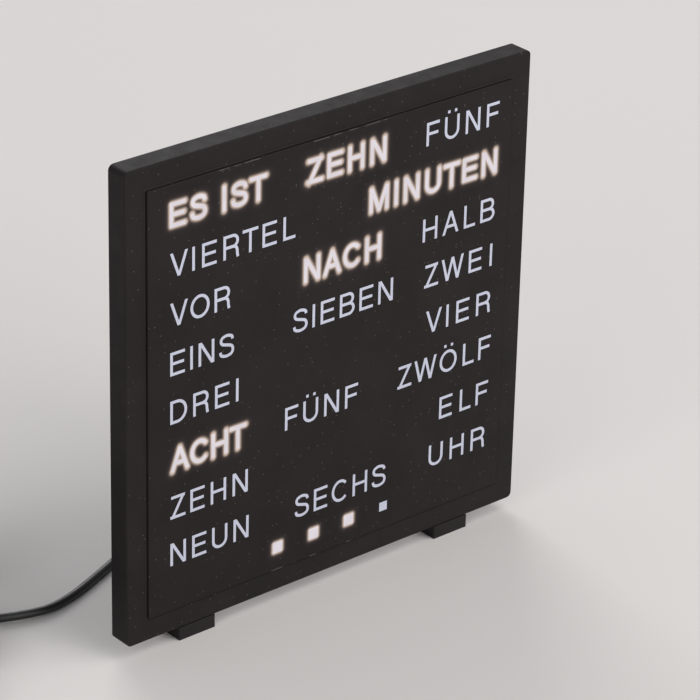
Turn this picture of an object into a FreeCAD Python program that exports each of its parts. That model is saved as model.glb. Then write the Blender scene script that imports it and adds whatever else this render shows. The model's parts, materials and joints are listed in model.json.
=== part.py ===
"""A word clock: a black square face that tells the time in lit words, with its feet and mains adapter.

Frame: +Z up, the face looks along -Y, +X is the clock's right-hand side seen from the front.
The origin is on the floor, under the middle of the clock without its lead.
"""
import FreeCAD, Part
import Sketcher
import math
import os
import re

V = FreeCAD.Vector
doc = FreeCAD.newDocument("word_clock")

# Driving sizes in millimetres: name, value, meaning
SIZES = (
    ("face_side", 165, "outer side of the square frame"),
    ("corner_round", 2, "rounding of the frame's four corners"),
    ("rim_round", 0.4, "small rounding of the frame's front edge"),
    ("frame_depth", 8, "depth of the frame from front to back"),
    ("front_wall", 2.2, "thickness of the frame's front wall"),
    ("frame_wall", 2, "thickness of the frame's skirt"),
    ("border", 7.5, "width of the frame round its window"),
    ("groove", 0.6, "fine gap between the plate and the window's edge"),
    ("plate_proud", 0.8, "how far the plate stands out of the frame"),
    ("plate_lap", 0.9, "how far the plate's flange reaches past the window"),
    ("plate_flange", 1, "thickness of the plate's flange"),
    ("boss_gap", 1, "gap between the plate's flange and a screw boss"),
    ("film", 0.5, "thickness of the diffuser film"),
    ("grid_depth", 8, "depth of the light chambers"),
    ("chamber_margin", 1.4, "room round a word inside its chamber"),
    ("board", 1.6, "thickness of a circuit board"),
    ("tub_inset", 8.5, "outer side of the housing's tub from the frame's outer side"),
    ("tub_wall", 2, "wall of the rear housing"),
    ("stack_gap", 0.3, "gap between the tub and what stands in it"),
    ("ledge", 3, "width of the ledge that the board rests on"),
    ("solder_room", 2, "depth behind the first board"),
    ("flange", 2, "thickness of the housing's flange"),
    ("fit_gap", 0.3, "gap between the housing's flange and the skirt"),
    ("box_width", 100, "outer width of the electronics box"),
    ("box_height", 56, "outer height of the electronics box"),
    ("box_low", 28.5, "bottom of the electronics box above the frame's lower edge"),
    ("box_round", 4, "rounding of the box's and the tub's upright edges"),
    ("body_depth", 30, "depth of the clock from the frame's front to the box's back"),
    ("boss_inset", 5.5, "case screws from the frame's outer sides"),
    ("boss_roof", 0.4, "what is left at the bottom of the hole in a screw boss"),
    ("boss_radius", 3, "radius of a screw boss"),
    ("case_bore", 1.1, "radius of the hole in a screw boss"),
    ("case_pass", 1.5, "radius of the screw hole in the flange"),
    ("thread_gap", 0.01, "gap between a screw and its hole"),
    ("screw_tip", 0.9, "gap past the tip of a case screw"),
    ("head_radius", 2.4, "radius of a case screw's head"),
    ("head_high", 1.5, "height of a case screw's head"),
    ("foot_width", 14.4, "width of a foot"),
    ("foot_drop", 4.75, "height of a foot below the frame"),
    ("foot_length", 32, "length of a foot from front to back"),
    ("foot_left_x", 54.3, "left foot's middle from the clock's middle"),
    ("foot_right_x", 54.5, "right foot's middle from the clock's middle"),
    ("foot_tail", 2.4, "height of a foot at its back end"),
    ("heel", 5, "height of the upright that backs the frame"),
    ("heel_thick", 2.6, "thickness of that upright"),
    ("tongue_width", 9, "width of the tongue that plugs into the frame"),
    ("tongue_thick", 2.4, "thickness of the tongue"),
    ("tongue_high", 4, "height of the tongue"),
    ("slot_gap", 0.15, "gap round a tongue in its slot"),
    ("text_inset", 9, "outer edge of the words from the window's side"),
    ("text_right", 2.7, "how much nearer to the side the words at the right end"),
    ("cap_high", 8.1, "height of the letters"),
    ("first_drop", 22.25, "foot of the first line of words below the frame's upper edge"),
    ("last_line", 24.59, "foot of the last line of words above the frame's lower edge"),
    ("minute_line", 16.5, "middle of the minute squares above the frame's lower edge"),
    ("minute_pitch", 15.05, "distance between minute squares"),
    ("minute_side", 3.2, "side of a minute square"),
    ("led_long", 3.5, "length of a light-emitting diode"),
    ("led_wide", 2.8, "width of a light-emitting diode"),
    ("led_high", 1.1, "height of a light-emitting diode"),
    ("led_pitch", 9, "usual distance between diodes under a word"),
    ("board_room", 2, "gap between the control board and the box's walls"),
    ("post_inset", 4, "control board's screws from the board's edges"),
    ("post_pass", 0.3, "gap round a board screw in the control board"),
    ("post_radius", 2.5, "radius of a post under the control board"),
    ("post_bore", 0.8, "radius of the hole in a post"),
    ("board_grip", 5, "length of a board screw under its head"),
    ("board_head", 1.8, "radius of a board screw's head"),
    ("board_head_high", 1.2, "height of a board screw's head"),
    ("jack_room", 3.1, "gap between the socket's block and the cell's well"),
    ("jack_z", -4, "low-voltage socket from the box's middle"),
    ("jack_side", 9, "side of the socket's block"),
    ("jack_collar", 4, "radius of the socket's collar in the back wall"),
    ("barrel_radius", 2.75, "outer radius of the plug's metal sleeve"),
    ("barrel_bore", 1.1, "radius of the sleeve's hole"),
    ("barrel_length", 9.5, "length of the plug's metal sleeve"),
    ("contact_gap", 0.08, "gap round a sliding contact"),
    ("jack_floor", 0.8, "thickness of the socket's floor"),
    ("button_inset", 13, "first button from the box's side"),
    ("button_pitch", 14, "distance between buttons"),
    ("button_z", 10, "buttons from the box's middle"),
    ("button_radius", 3.6, "radius of a button's cap"),
    ("button_proud", 1, "how far a button stands out of the back"),
    ("button_collar", 1.3, "width of the collar that keeps a button in"),
    ("collar_thick", 1, "thickness of that collar"),
    ("button_gap", 0.3, "gap round a button"),
    ("button_travel", 0.5, "travel of a button"),
    ("switch_side", 6, "side of a switch's housing"),
    ("switch_high", 3.5, "height of a switch's housing"),
    ("plunger_radius", 1.7, "radius of a switch's plunger"),
    ("plunger_out", 1.3, "how far a plunger stands out of its switch"),
    ("plunger_in", 1.5, "how deep a plunger sits in its switch"),
    ("cell_inset", 22, "coin cell's middle from the box's side"),
    ("cell_z", 0, "coin cell from the box's middle"),
    ("cell_radius", 10, "radius of the coin cell"),
    ("cell_thick", 3.2, "thickness of the coin cell"),
    ("cell_gap", 0.8, "gap round the coin cell in its well"),
    ("well_floor", 1.2, "thickness of the well's floor"),
    ("leaf_room", 0.7, "room for the spring leaf under the cell"),
    ("leaf", 0.3, "thickness of a spring leaf"),
    ("leaf_width", 4, "width of a spring leaf"),
    ("leaf_leg", 7, "leg of a spring leaf from the cell's middle"),
    ("leaf_in", 1, "where the lower leaf first meets the cell, from its middle"),
    ("leaf_past", 2, "how far that leaf runs on past the cell's middle"),
    ("leaf_up", 2.4, "how far the other leaf stands up beside the cell"),
    ("leaf_touch", 0.05, "gap between that leaf and the cell's side"),
    ("cap_lap", 1.4, "how far the battery cap reaches past the cell's well"),
    ("cap_thick", 3.1, "thickness of the battery cap"),
    ("cap_gap", 0.3, "gap round the battery cap"),
    ("lug_out", 1.2, "how far a bayonet lug stands out of the cap"),
    ("lug_root", 1, "how deep a bayonet lug is rooted in the cap"),
    ("lug_gap", 0.7, "gap past the tip of a lug"),
    ("lug_side_gap", 0.5, "gap round a lug in its way in"),
    ("lug_turn", -45, "direction in degrees of the lugs' ways in"),
    ("well_wall", 2, "wall of the well outside the lugs"),
    ("lug_width", 5, "width of a bayonet lug"),
    ("lug_thick", 1.2, "thickness of a bayonet lug"),
    ("lug_cover", 1, "thickness of the ledge over a lug"),
    ("coin_slot_long", 15, "length of the coin slot"),
    ("coin_slot_wide", 2, "width of the coin slot"),
    ("coin_slot_deep", 1.2, "depth of the coin slot"),
    ("plug_radius", 4.5, "radius of the plug's body"),
    ("plug_length", 14, "length of the plug's body behind the clock"),
    ("plug_arm", 13, "length of the plug's arm below its axis"),
    ("arm_radius", 3.6, "radius of the plug's arm"),
    ("relief_length", 13, "length of the plug's strain relief"),
    ("relief_thin", 1.9, "radius of a strain relief at its thin end"),
    ("cord_radius", 1.5, "radius of the lead"),
    ("coil_x", -132, "middle of the coil, sideways"),
    ("coil_y", 24, "middle of the coil, front to back"),
    ("coil_columns", 3, "turns side by side in the coil"),
    ("coil_layers", 6, "layers of turns in the coil"),
    ("coil_mid", 15, "radius of the coil at the middle of its turns"),
    ("coil_angle", 20, "direction in degrees in which the lead reaches the coil"),
    ("coil_lead", 23.6, "straight end of the coil towards the clock"),
    ("coil_tail", 12, "straight end of the coil towards the adapter"),
    ("tie_width", 4, "width of the tie round the coil"),
    ("tie_thick", 0.5, "thickness of the tie, which the coil lies on"),
    ("adapter_relief_length", 8.5, "length of the adapter's strain relief"),
    ("adapter_relief_wide", 3.4, "radius of that relief at the adapter"),
    ("adapter_width", 42, "width of the adapter"),
    ("adapter_height", 29, "height of the adapter's plug face"),
    ("adapter_back", 20, "thickness of the adapter's rear shell"),
    ("adapter_front", 10, "thickness of the adapter's front shell"),
    ("adapter_round", 4, "rounding of the adapter's upright edges"),
    ("seam", 0.5, "depth of the step at the adapter's seam"),
    ("nose_long", 35, "length of the plug nose on the adapter"),
    ("nose_wide", 13, "width of the plug nose"),
    ("nose_high", 4, "height of the plug nose"),
    ("pin_pitch", 18.6, "distance between the mains pins"),
    ("pin_radius", 2, "radius of a mains pin"),
    ("pin_length", 19, "length of a mains pin"),
    ("chip_inset", 14, "clock chip from the control board's side"),
    ("chip_low", 8, "clock chip below the box's middle"),
    ("chip_long", 10, "length of the clock chip's body"),
    ("chip_wide", 6, "width of the clock chip's body"),
    ("chip_high", 1.8, "thickness of the clock chip's body"),
    ("chip_lift", 0.2, "gap under the clock chip's body"),
    ("leg_out", 1.6, "how far a chip's leg reaches out"),
    ("leg_wide", 0.4, "width of a chip's leg"),
    ("leg_high", 1, "height of a chip's leg"),
    ("leg_pitch", 1.27, "distance between a chip's legs"),
    ("crystal_right", 11, "timing crystal from the clock chip, sideways"),
    ("crystal_low", 11.5, "timing crystal below the box's middle"),
    ("crystal_long", 10.6, "length of the crystal's can"),
    ("crystal_wide", 4.4, "width of the crystal's can"),
    ("crystal_high", 3.5, "height of the crystal's can"),
    ("cans_right", 26, "pair of capacitors from the clock chip, sideways"),
    ("cans_low", 6, "pair of capacitors from the control board's lower edge"),
    ("can_pitch", 7.6, "distance between the capacitors"),
    ("can_radius", 3.1, "radius of a capacitor"),
    ("can_high", 7, "height of a capacitor"),
    ("can_bevel", 0.5, "bevel of a metal can's edge"),
    ("header_right", 12, "board header from the clock chip, sideways"),
    ("header_low", 8, "board header from the control board's lower edge"),
    ("header_long", 20.4, "length of the board header"),
    ("header_wide", 5, "width of the board header"),
)

# Sizes that follow from the driving ones
DERIVED = (
    ("front_plane", "-(foot_length - plate_proud) / 2", "frame's front along Y"),
    ("face_mid", "foot_drop + face_side / 2", "height of the face's middle"),
    ("box_mid", "foot_drop + box_low + box_height / 2", "height of the box's middle"),
    ("window_side", "face_side - 2 * border", "side of the square window in the front wall"),
    ("plate_side", "window_side - 2 * groove", "side of the plate in the window"),
    ("boss_pitch", "face_side - 2 * boss_inset", "distance between the case screws"),
    ("case_grip", "frame_depth - front_wall - boss_roof - screw_tip", "length of a case screw under its head"),
    (
        "plate_corner",
        "window_side + 2 * plate_lap - boss_pitch + 1.4142 * (boss_radius + boss_gap)",
        "cut corner of the plate's flange, clear of the screw boss",
    ),
    ("tub_side", "face_side - 2 * tub_inset", "outer side of the housing's tub"),
    ("plate_back", "front_wall + plate_flange", "back of the plate from the frame's front"),
    ("stack_side", "tub_side - 2 * tub_wall - 2 * stack_gap", "side of film, grid and board"),
    ("grid_front", "plate_back + film", "front of the light grid"),
    ("led_board_front", "grid_front + grid_depth", "front of the first board"),
    ("led_board_back", "led_board_front + board", "back of the first board"),
    ("tub_floor", "led_board_back + solder_room", "inner face of the tub's back wall"),
    ("tub_back", "tub_floor + tub_wall", "back of the tub"),
    ("text_margin", "window_side / 2 - text_inset", "outer edge of the words from the clock's middle"),
    ("line_pitch", "(face_side - first_drop - last_line) / 7", "distance between lines of words"),
    ("flange_front", "frame_depth - flange", "front of the housing's flange"),
    ("tongue_at", "(front_wall + flange_front - tongue_thick) / 2", "tongue's front from the frame's front"),
    ("flange_side", "face_side - 2 * frame_wall - 2 * fit_gap", "side of the flange"),
    ("back_inside", "body_depth - tub_wall", "inner face of the back wall"),
    ("control_at", "tub_back + stack_gap", "front of the control board from the frame's front"),
    ("control_back", "control_at + board", "back of the control board"),
    ("control_width", "box_width - 2 * tub_wall - 2 * board_room", "width of the control board"),
    ("control_height", "box_height - 2 * tub_wall - 2 * board_room", "height of the control board"),
    ("post_x", "control_width / 2 - post_inset", "control board's screws from the box's middle, sideways"),
    ("post_z", "control_height / 2 - post_inset", "control board's screws from the box's middle, upright"),
    ("chip_x", "chip_inset - control_width / 2", "clock chip from the clock's middle"),
    ("button_first_x", "button_inset - box_width / 2", "first button from the clock's middle"),
    ("cell_x", "box_width / 2 - cell_inset", "coin cell from the clock's middle"),
    ("cap_radius", "cell_radius + cell_gap + cap_lap", "radius of the battery cap"),
    ("lug_reach", "cap_radius + lug_out", "tip of a bayonet lug from the cap's middle"),
    ("cap_inside", "body_depth - cap_thick", "inner face of the battery cap"),
    ("lug_back", "body_depth - lug_cover - cap_gap", "back of a bayonet lug"),
    ("cell_back", "cap_inside", "back of the coin cell"),
    ("cell_front", "cell_back - cell_thick", "front of the coin cell"),
    ("well_inside", "cell_front - leaf_room", "inner face of the well's floor"),
    ("well_front", "well_inside - well_floor", "front of the well"),
    ("well_radius", "lug_reach + well_wall", "outer radius of the well"),
    ("jack_x", "cell_x - well_radius - jack_room - jack_side / 2", "socket from the clock's middle"),
    ("plunger_end", "control_back + switch_high + plunger_out", "end of a plunger"),
    ("plug_axis", "body_depth + plug_length / 2 + 2", "depth of the plug's arm"),
    ("jack_height", "box_mid + jack_z", "height of the socket"),
    ("coil_outer", "coil_mid + (coil_columns - 1) * cord_radius", "radius of the outermost turn"),
    ("coil_top_turn", "tie_thick + cord_radius * (2 * coil_layers - 1)", "height of the top turns' middle"),
    ("adapter_x", "coil_x + coil_outer", "middle of the adapter, sideways"),
    ("adapter_y", "coil_y + coil_tail + adapter_relief_length", "front side of the adapter"),
)

# The words' widths, line by line: at the left margin, about the middle, at the right margin
WORD_LINES = (
    (39, 33.5, 31.5),
    (49.6, 0, 55),
    (23.6, 32.5, 31.5),
    (25.3, 42, 29.8),
    (27.2, 0, 28.4),
    (31.2, 30.6, 40.9),
    (31.3, 0, 21.8),
    (31.9, 39, 25),
)
# Middles of the middle words where they do not stand over the clock's own middle
MIDDLE_AT = (4.2, 0, 3.4, 4, 0, -4.3, 0, 4.5)
MINUTES = 4
BUTTONS = ("hour", "minute", "brightness")
CHIP_LEGS = 8

# The lead's route where it is not coiled, from the plug's relief to the coil, chosen by hand
ROUTE = (
    (5, 23.4, 31.25),
    (5, 23.4, 19.2),
    (0.4, 27.9, 8),
    (-7.7, 35.9, 1.5),
    (-20, 42.6, 1.5),
    (-34, 43, 1.5),
    (-56, 34.8, 1.5),
    (-76, 29, 1.5),
    (-91, 28.23, 2),
)
ARC_SHARE = 0.45

sheet = doc.addObject("Spreadsheet::Sheet", "Sizes")
names = [entry[0] for entry in SIZES + DERIVED]
for line, (name, amount, meaning) in enumerate(SIZES + DERIVED, start=1):
    sheet.set(f"A{line}", name)
    sheet.set(f"B{line}", str(amount) if isinstance(amount, (int, float)) else "=" + amount)
    sheet.set(f"C{line}", meaning)
    sheet.setAlias(f"B{line}", name)
doc.recompute()


def bind(text):
    """The formula with each size's name pointing at the sheet."""

    def aimed(found):
        word = found.group()
        return "Sizes." + word if word in names else word

    return re.sub(r"[a-z_]\w*", aimed, str(text))


def value(text):
    """The formula's number."""
    return float(doc.getObject("front_frame").evalExpression(bind(text)))


def new_body(label):
    """An empty body with its own name."""
    body = doc.addObject("PartDesign::Body", label)
    body.Label = label
    body.AllowCompound = True
    return body


def place(body, x="0", y="front_plane", z="face_mid"):
    """Put a body where its formulas say."""
    for axis, text in zip("xyz", (x, y, z)):
        body.setExpression(f"Placement.Base.{axis}", bind(text))


def sketch(body, plane, name, lift="0", x="0", y="0", turn=0):
    """A sketch on one of the body's own planes, lifted along the plane's normal."""
    support = next(f for f in body.Origin.OriginFeatures if f.Role == plane)
    sk = body.newObject("Sketcher::SketchObject", name)
    sk.AttachmentSupport = [(support, "")]
    sk.MapMode = "FlatFace"
    for axis, text in zip("xyz", (x, y, lift)):
        sk.setExpression(f"AttachmentOffset.Base.{axis}", bind(text))
    if turn:
        sk.setExpression("AttachmentOffset.Rotation.Angle", bind(turn))
    return sk


def face_sketch(body, name, depth, **where):
    """A sketch seen from the front, at a depth behind the body's own front."""
    return sketch(body, "XZ_Plane", name, lift=f"-({depth})", **where)


class Drawing:
    """What is drawn on a sketch before it is put there in one go: lines, rules and the rules' formulas."""

    def __init__(self):
        self.geometry, self.rules, self.formulas = [], [], []


drawings = {}


def drawing_of(sk):
    """The sketch's waiting drawing, and the number that its next line gets."""
    drawing = drawings.setdefault(sk.Name, Drawing())
    return drawing, len(drawing.geometry)


def measured(drawing, rule, text):
    """Add a rule whose size follows a formula."""
    drawing.formulas.append((len(drawing.rules), text))
    drawing.rules.append(rule)


def hold(drawing, kind, geometry, point, text):
    """Tie one point of a drawing to a formula."""
    measured(drawing, Sketcher.Constraint(kind, -1, 1, geometry, point, value(text)), text)


def closed_line(drawing, first, spots):
    """Straight lines round through all the spots."""
    count = len(spots)
    for k in range(count):
        drawing.geometry.append(Part.LineSegment(spots[k], spots[(k + 1) % count]))
        following = first + (k + 1) % count
        drawing.rules.append(Sketcher.Constraint("Coincident", first + k, 2, following, 1))


def outline(sk, points):
    """A closed outline of straight lines through points given as pairs of formulas."""
    drawing, first = drawing_of(sk)
    closed_line(drawing, first, [V(value(x), value(y), 0) for x, y in points])
    for k, (x, y) in enumerate(points):
        hold(drawing, "DistanceX", first + k, 1, x)
        hold(drawing, "DistanceY", first + k, 1, y)


def rectangle(sk, left, right, low, high):
    """A rectangle between four formulas."""
    drawing, first = drawing_of(sk)
    x0, x1, y0, y1 = (value(t) for t in (left, right, low, high))
    closed_line(drawing, first, [V(x0, y0, 0), V(x1, y0, 0), V(x1, y1, 0), V(x0, y1, 0)])
    for k in range(4):
        drawing.rules.append(Sketcher.Constraint("Vertical" if k % 2 else "Horizontal", first + k))
    hold(drawing, "DistanceX", first, 1, left)
    hold(drawing, "DistanceY", first, 1, low)
    hold(drawing, "DistanceX", first + 2, 1, right)
    hold(drawing, "DistanceY", first + 2, 1, high)


def circle(sk, x, y, radius):
    """A circle about a point given by formulas."""
    drawing, first = drawing_of(sk)
    drawing.geometry.append(Part.Circle(V(value(x), value(y), 0), V(0, 0, 1), value(radius)))
    hold(drawing, "DistanceX", first, 3, x)
    hold(drawing, "DistanceY", first, 3, y)
    measured(drawing, Sketcher.Constraint("Radius", first, value(radius)), radius)


def settle(sk):
    """Put the waiting drawing on its sketch."""
    drawing = drawings.pop(sk.Name)
    sk.addGeometry(drawing.geometry, False)
    sk.addConstraint(drawing.rules)
    for index, text in drawing.formulas:
        sk.setExpression(f"Constraints[{index}]", bind(text))


def square(sk, side):
    """A square about the sketch's middle."""
    rectangle(sk, f"-({side}) / 2", f"({side}) / 2", f"-({side}) / 2", f"({side}) / 2")


def four_corners(sk, reach_x, reach_y, radius):
    """Four equal circles, one in each quarter."""
    for side in ("-", ""):
        for end in ("-", ""):
            circle(sk, f"{side}({reach_x})", f"{end}({reach_y})", radius)


def pad(body, sk, length, forward=False):
    """Add the sketch's outline, towards the back unless forward is set."""
    settle(sk)
    feature = body.newObject("PartDesign::Pad", sk.Name + "_pad")
    feature.Profile = sk
    feature.setExpression("Length", bind(length))
    feature.Reversed = not forward
    doc.recompute()
    return feature


def pocket(body, sk, length, forward=False):
    """Cut the sketch's outline away, towards the back unless forward is set."""
    settle(sk)
    before = body.Shape.Volume
    feature = body.newObject("PartDesign::Pocket", sk.Name + "_cut")
    feature.Profile = sk
    feature.setExpression("Length", bind(length))
    feature.Reversed = forward
    doc.recompute()
    if body.Shape.Volume >= before:
        raise RuntimeError(f"{feature.Label} cuts nothing")
    return feature


def turned(body, sk, cut=False):
    """Turn the sketch's outline about the sketch's upright axis, as material or as a cut."""
    settle(sk)
    before = body.Shape.Volume if cut else 0
    feature = body.newObject("PartDesign::Groove" if cut else "PartDesign::Revolution", sk.Name + "_turn")
    feature.Profile = sk
    feature.ReferenceAxis = (sk, ["V_Axis"])
    feature.Angle = 360
    doc.recompute()
    if cut and body.Shape.Volume >= before:
        raise RuntimeError(f"{feature.Label} cuts nothing")
    return feature


def edges_where(feature, test):
    """Names of the feature's edges whose middle and direction pass the test."""
    found = []
    for number, edge in enumerate(feature.Shape.Edges, start=1):
        middle = edge.valueAt((edge.FirstParameter + edge.LastParameter) / 2)
        direction = edge.tangentAt((edge.FirstParameter + edge.LastParameter) / 2)
        if test(middle, direction, edge):
            found.append(f"Edge{number}")
    return found


def rounded(body, feature, radius, test, kind="Fillet"):
    """Round or bevel the feature's edges that pass the test."""
    chosen = edges_where(feature, test)
    if not chosen:
        raise RuntimeError(f"{feature.Label} has no such edge")
    dress = body.newObject("PartDesign::" + kind, f"{feature.Name}_{kind.lower()}")
    dress.Base = (feature, chosen)
    dress.setExpression("Radius" if kind == "Fillet" else "Size", bind(radius))
    doc.recompute()
    return dress


def along_depth(middle, direction, edge):
    """Is it a straight edge from front to back?"""
    return abs(direction.y) > 0.99 and edge.Curve.TypeId == "Part::GeomLine"


# The square frame: front wall with its window, skirt, four screw bosses and two slots for the feet
frame = new_body("front_frame")
block = face_sketch(frame, "frame_block", "0")
square(block, "face_side")
solid = pad(frame, block, "frame_depth")
solid = rounded(frame, solid, "corner_round", along_depth)
rounded(frame, solid, "rim_round", lambda m, d, e: abs(m.y) < 0.01, kind="Chamfer")
inside = face_sketch(frame, "frame_inside", "front_wall")
square(inside, "face_side - 2 * frame_wall")
pocket(frame, inside, "frame_depth")
window = face_sketch(frame, "frame_window", "0")
square(window, "window_side")
pocket(frame, window, "frame_depth")
bosses = face_sketch(frame, "frame_bosses", "front_wall")
four_corners(bosses, "boss_pitch / 2", "boss_pitch / 2", "boss_radius")
pad(frame, bosses, "flange_front - front_wall")
bores = face_sketch(frame, "boss_bores", "flange_front")
four_corners(bores, "boss_pitch / 2", "boss_pitch / 2", "case_bore")
pocket(frame, bores, "flange_front - front_wall - boss_roof", forward=True)
slots = sketch(frame, "XY_Plane", "foot_slots", lift="-face_side / 2")
for middle in ("-foot_left_x", "foot_right_x"):
    rectangle(
        slots,
        f"{middle} - tongue_width / 2 - slot_gap",
        f"{middle} + tongue_width / 2 + slot_gap",
        "tongue_at - slot_gap",
        "tongue_at + tongue_thick + slot_gap",
    )
pocket(frame, slots, "frame_wall", forward=True)
place(frame)

# The black plate that carries the words: a pad through the window and a thin flange behind it
plate = new_body("face_plate")
pane = face_sketch(plate, "plate_pane", "-plate_proud")
square(pane, "plate_side")
solid = pad(plate, pane, "plate_proud + front_wall")
plate_front = -value("plate_proud")
rounded(plate, solid, "rim_round / 2", lambda m, d, e: abs(m.y - plate_front) < 0.01, kind="Chamfer")
rim = face_sketch(plate, "plate_rim", "front_wall")
edge_at = "(window_side / 2 + plate_lap)"
cut_at = "(window_side / 2 + plate_lap - plate_corner)"
rim_corners = []
for turn_x, turn_z in (("", ""), ("-", ""), ("-", "-"), ("", "-")):
    pair = [(turn_x + edge_at, turn_z + cut_at), (turn_x + cut_at, turn_z + edge_at)]
    rim_corners += pair if turn_x == turn_z else pair[::-1]
outline(rim, rim_corners)
pad(plate, rim, "plate_flange")
place(plate)

# White film that spreads the light behind the words
film = new_body("diffuser_sheet")
film_sketch = face_sketch(film, "film_outline", "plate_back")
square(film_sketch, "stack_side")
pad(film, film_sketch, "film")
place(film)


def word_spans(column):
    """Left and right ends and the line's foot of each word in a column, as formulas."""
    spans = []
    for line, widths in enumerate(WORD_LINES):
        width, foot = widths[column], f"face_side / 2 - first_drop - {line} * line_pitch"
        if column == 0:
            spans.append(("-text_margin", f"-text_margin + {width}", foot))
        elif column == 2:
            spans.append((f"text_margin + text_right - {width}", "text_margin + text_right", foot))
        elif width:
            spans.append((f"{MIDDLE_AT[line]} - {width} / 2", f"{MIDDLE_AT[line]} + {width} / 2", foot))
    return spans


def minute_places():
    """The middles of the minute squares, as formulas."""
    return [f"({k} - {(MINUTES - 1) / 2}) * minute_pitch" for k in range(MINUTES)]


MINUTE_Z = "minute_line - face_side / 2"

# The baffle: one open light chamber per word and per minute square, so that light stays in its word
grid = new_body("light_grid")
grid_block = face_sketch(grid, "grid_block", "grid_front")
square(grid_block, "stack_side")
pad(grid, grid_block, "grid_depth")
for column in range(3):
    chambers = face_sketch(grid, f"word_chambers_{column + 1}", "grid_front")
    for left, right, foot in word_spans(column):
        rectangle(
            chambers,
            f"{left} - chamber_margin",
            f"{right} + chamber_margin",
            f"{foot} - chamber_margin",
            f"{foot} + cap_high + 2 * chamber_margin",
        )
    pocket(grid, chambers, "grid_depth")
squares = face_sketch(grid, "minute_chambers", "grid_front")
for middle in minute_places():
    rectangle(
        squares,
        f"{middle} - minute_side / 2 - chamber_margin",
        f"{middle} + minute_side / 2 + chamber_margin",
        f"{MINUTE_Z} - minute_side / 2 - chamber_margin",
        f"{MINUTE_Z} + minute_side / 2 + chamber_margin",
    )
pocket(grid, squares, "grid_depth")
place(grid)

# The first board, and the diodes on its front
led_board = new_body("led_board")
led_board_sketch = face_sketch(led_board, "led_board_outline", "led_board_front")
square(led_board_sketch, "stack_side")
pad(led_board, led_board_sketch, "board")
place(led_board)

diodes = []


def diode_at(x, z):
    """One diode on the board about a point of the face."""
    corner = V(
        value(f"{x} - led_long / 2"),
        value("front_plane + led_board_front - led_high"),
        value(f"face_mid + {z} - led_wide / 2"),
    )
    diodes.append(Part.makeBox(value("led_long"), value("led_high"), value("led_wide"), corner))


for left, right, foot in word_spans(0) + word_spans(1) + word_spans(2):
    count = max(2, round(value(f"({right}) - ({left})") / value("led_pitch")))
    for k in range(count):
        diode_at(f"({left}) + (({right}) - ({left})) * {(k + 0.5) / count}", f"{foot} + cap_high / 2")
for middle in minute_places():
    diode_at(middle, MINUTE_Z)
leds = doc.addObject("Part::Feature", "word_leds")
leds.Shape = Part.makeCompound(diodes)

# The rear housing: flange in the skirt, tub round the stack, electronics box behind the lower half
housing = new_body("rear_housing")
BOX_Z = "box_mid - face_mid"
lip = face_sketch(housing, "housing_flange", "flange_front")
square(lip, "flange_side")
pad(housing, lip, "flange")
tub = face_sketch(housing, "housing_tub", "flange_front")
square(tub, "tub_side")
solid = pad(housing, tub, "tub_back - flange_front")
tub_edge = value("tub_side / 2")
rounded(
    housing,
    solid,
    "box_round",
    lambda m, d, e: along_depth(m, d, e) and abs(abs(m.x) - tub_edge) < 0.1 and m.y > value("frame_depth"),
)
box = face_sketch(housing, "housing_box", "tub_floor")
rectangle(box, "-box_width / 2", "box_width / 2", f"{BOX_Z} - box_height / 2", f"{BOX_Z} + box_height / 2")
solid = pad(housing, box, "body_depth - tub_floor")
box_edge = value("box_width / 2")
solid = rounded(
    housing,
    solid,
    "box_round",
    lambda m, d, e: along_depth(m, d, e) and abs(abs(m.x) - box_edge) < 0.1 and m.y > value("tub_back"),
)
box_back = value("body_depth")
rounded(housing, solid, "rim_round * 2", lambda m, d, e: abs(m.y - box_back) < 0.01, kind="Chamfer")
stack_room = face_sketch(housing, "stack_room", "flange_front")
square(stack_room, "tub_side - 2 * tub_wall")
pocket(housing, stack_room, "led_board_back - flange_front")
solder = face_sketch(housing, "solder_room_cut", "led_board_back")
square(solder, "tub_side - 2 * tub_wall - 2 * ledge")
pocket(housing, solder, "solder_room")
box_room = face_sketch(housing, "box_room", "tub_floor")
rectangle(
    box_room,
    "-box_width / 2 + tub_wall",
    "box_width / 2 - tub_wall",
    f"{BOX_Z} - box_height / 2 + tub_wall",
    f"{BOX_Z} + box_height / 2 - tub_wall",
)
pocket(housing, box_room, "back_inside - tub_floor")
posts = face_sketch(housing, "board_posts", "back_inside + tub_wall / 2", y=BOX_Z)
four_corners(posts, "post_x", "post_z", "post_radius")
pad(housing, posts, "back_inside + tub_wall / 2 - control_back", forward=True)
post_bores = face_sketch(housing, "post_bores", "control_back", y=BOX_Z)
four_corners(post_bores, "post_x", "post_z", "post_bore")
pocket(housing, post_bores, "board_grip")
well = face_sketch(housing, "cell_well", "back_inside + tub_wall / 2", x="cell_x", y=f"{BOX_Z} + cell_z")
circle(well, "0", "0", "well_radius")
pad(housing, well, "back_inside + tub_wall / 2 - well_front", forward=True)
bayonet = sketch(housing, "XY_Plane", "bayonet_cut", lift=f"{BOX_Z} + cell_z", x="cell_x")
outline(
    bayonet,
    (
        ("0", "well_inside"),
        ("cell_radius + cell_gap", "well_inside"),
        ("cell_radius + cell_gap", "cap_inside"),
        ("cap_radius + cap_gap", "cap_inside"),
        ("cap_radius + cap_gap", "lug_back - lug_thick - cap_gap"),
        ("lug_reach + lug_gap", "lug_back - lug_thick - cap_gap"),
        ("lug_reach + lug_gap", "body_depth - lug_cover"),
        ("cap_radius + cap_gap", "body_depth - lug_cover"),
        ("cap_radius + cap_gap", "body_depth + 1"),
        ("0", "body_depth + 1"),
    ),
)
turned(housing, bayonet, cut=True)
WELL_Z = f"{BOX_Z} + cell_z"
entries = face_sketch(housing, "lug_entries", "body_depth", x="cell_x", y=WELL_Z, turn="lug_turn")
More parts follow.
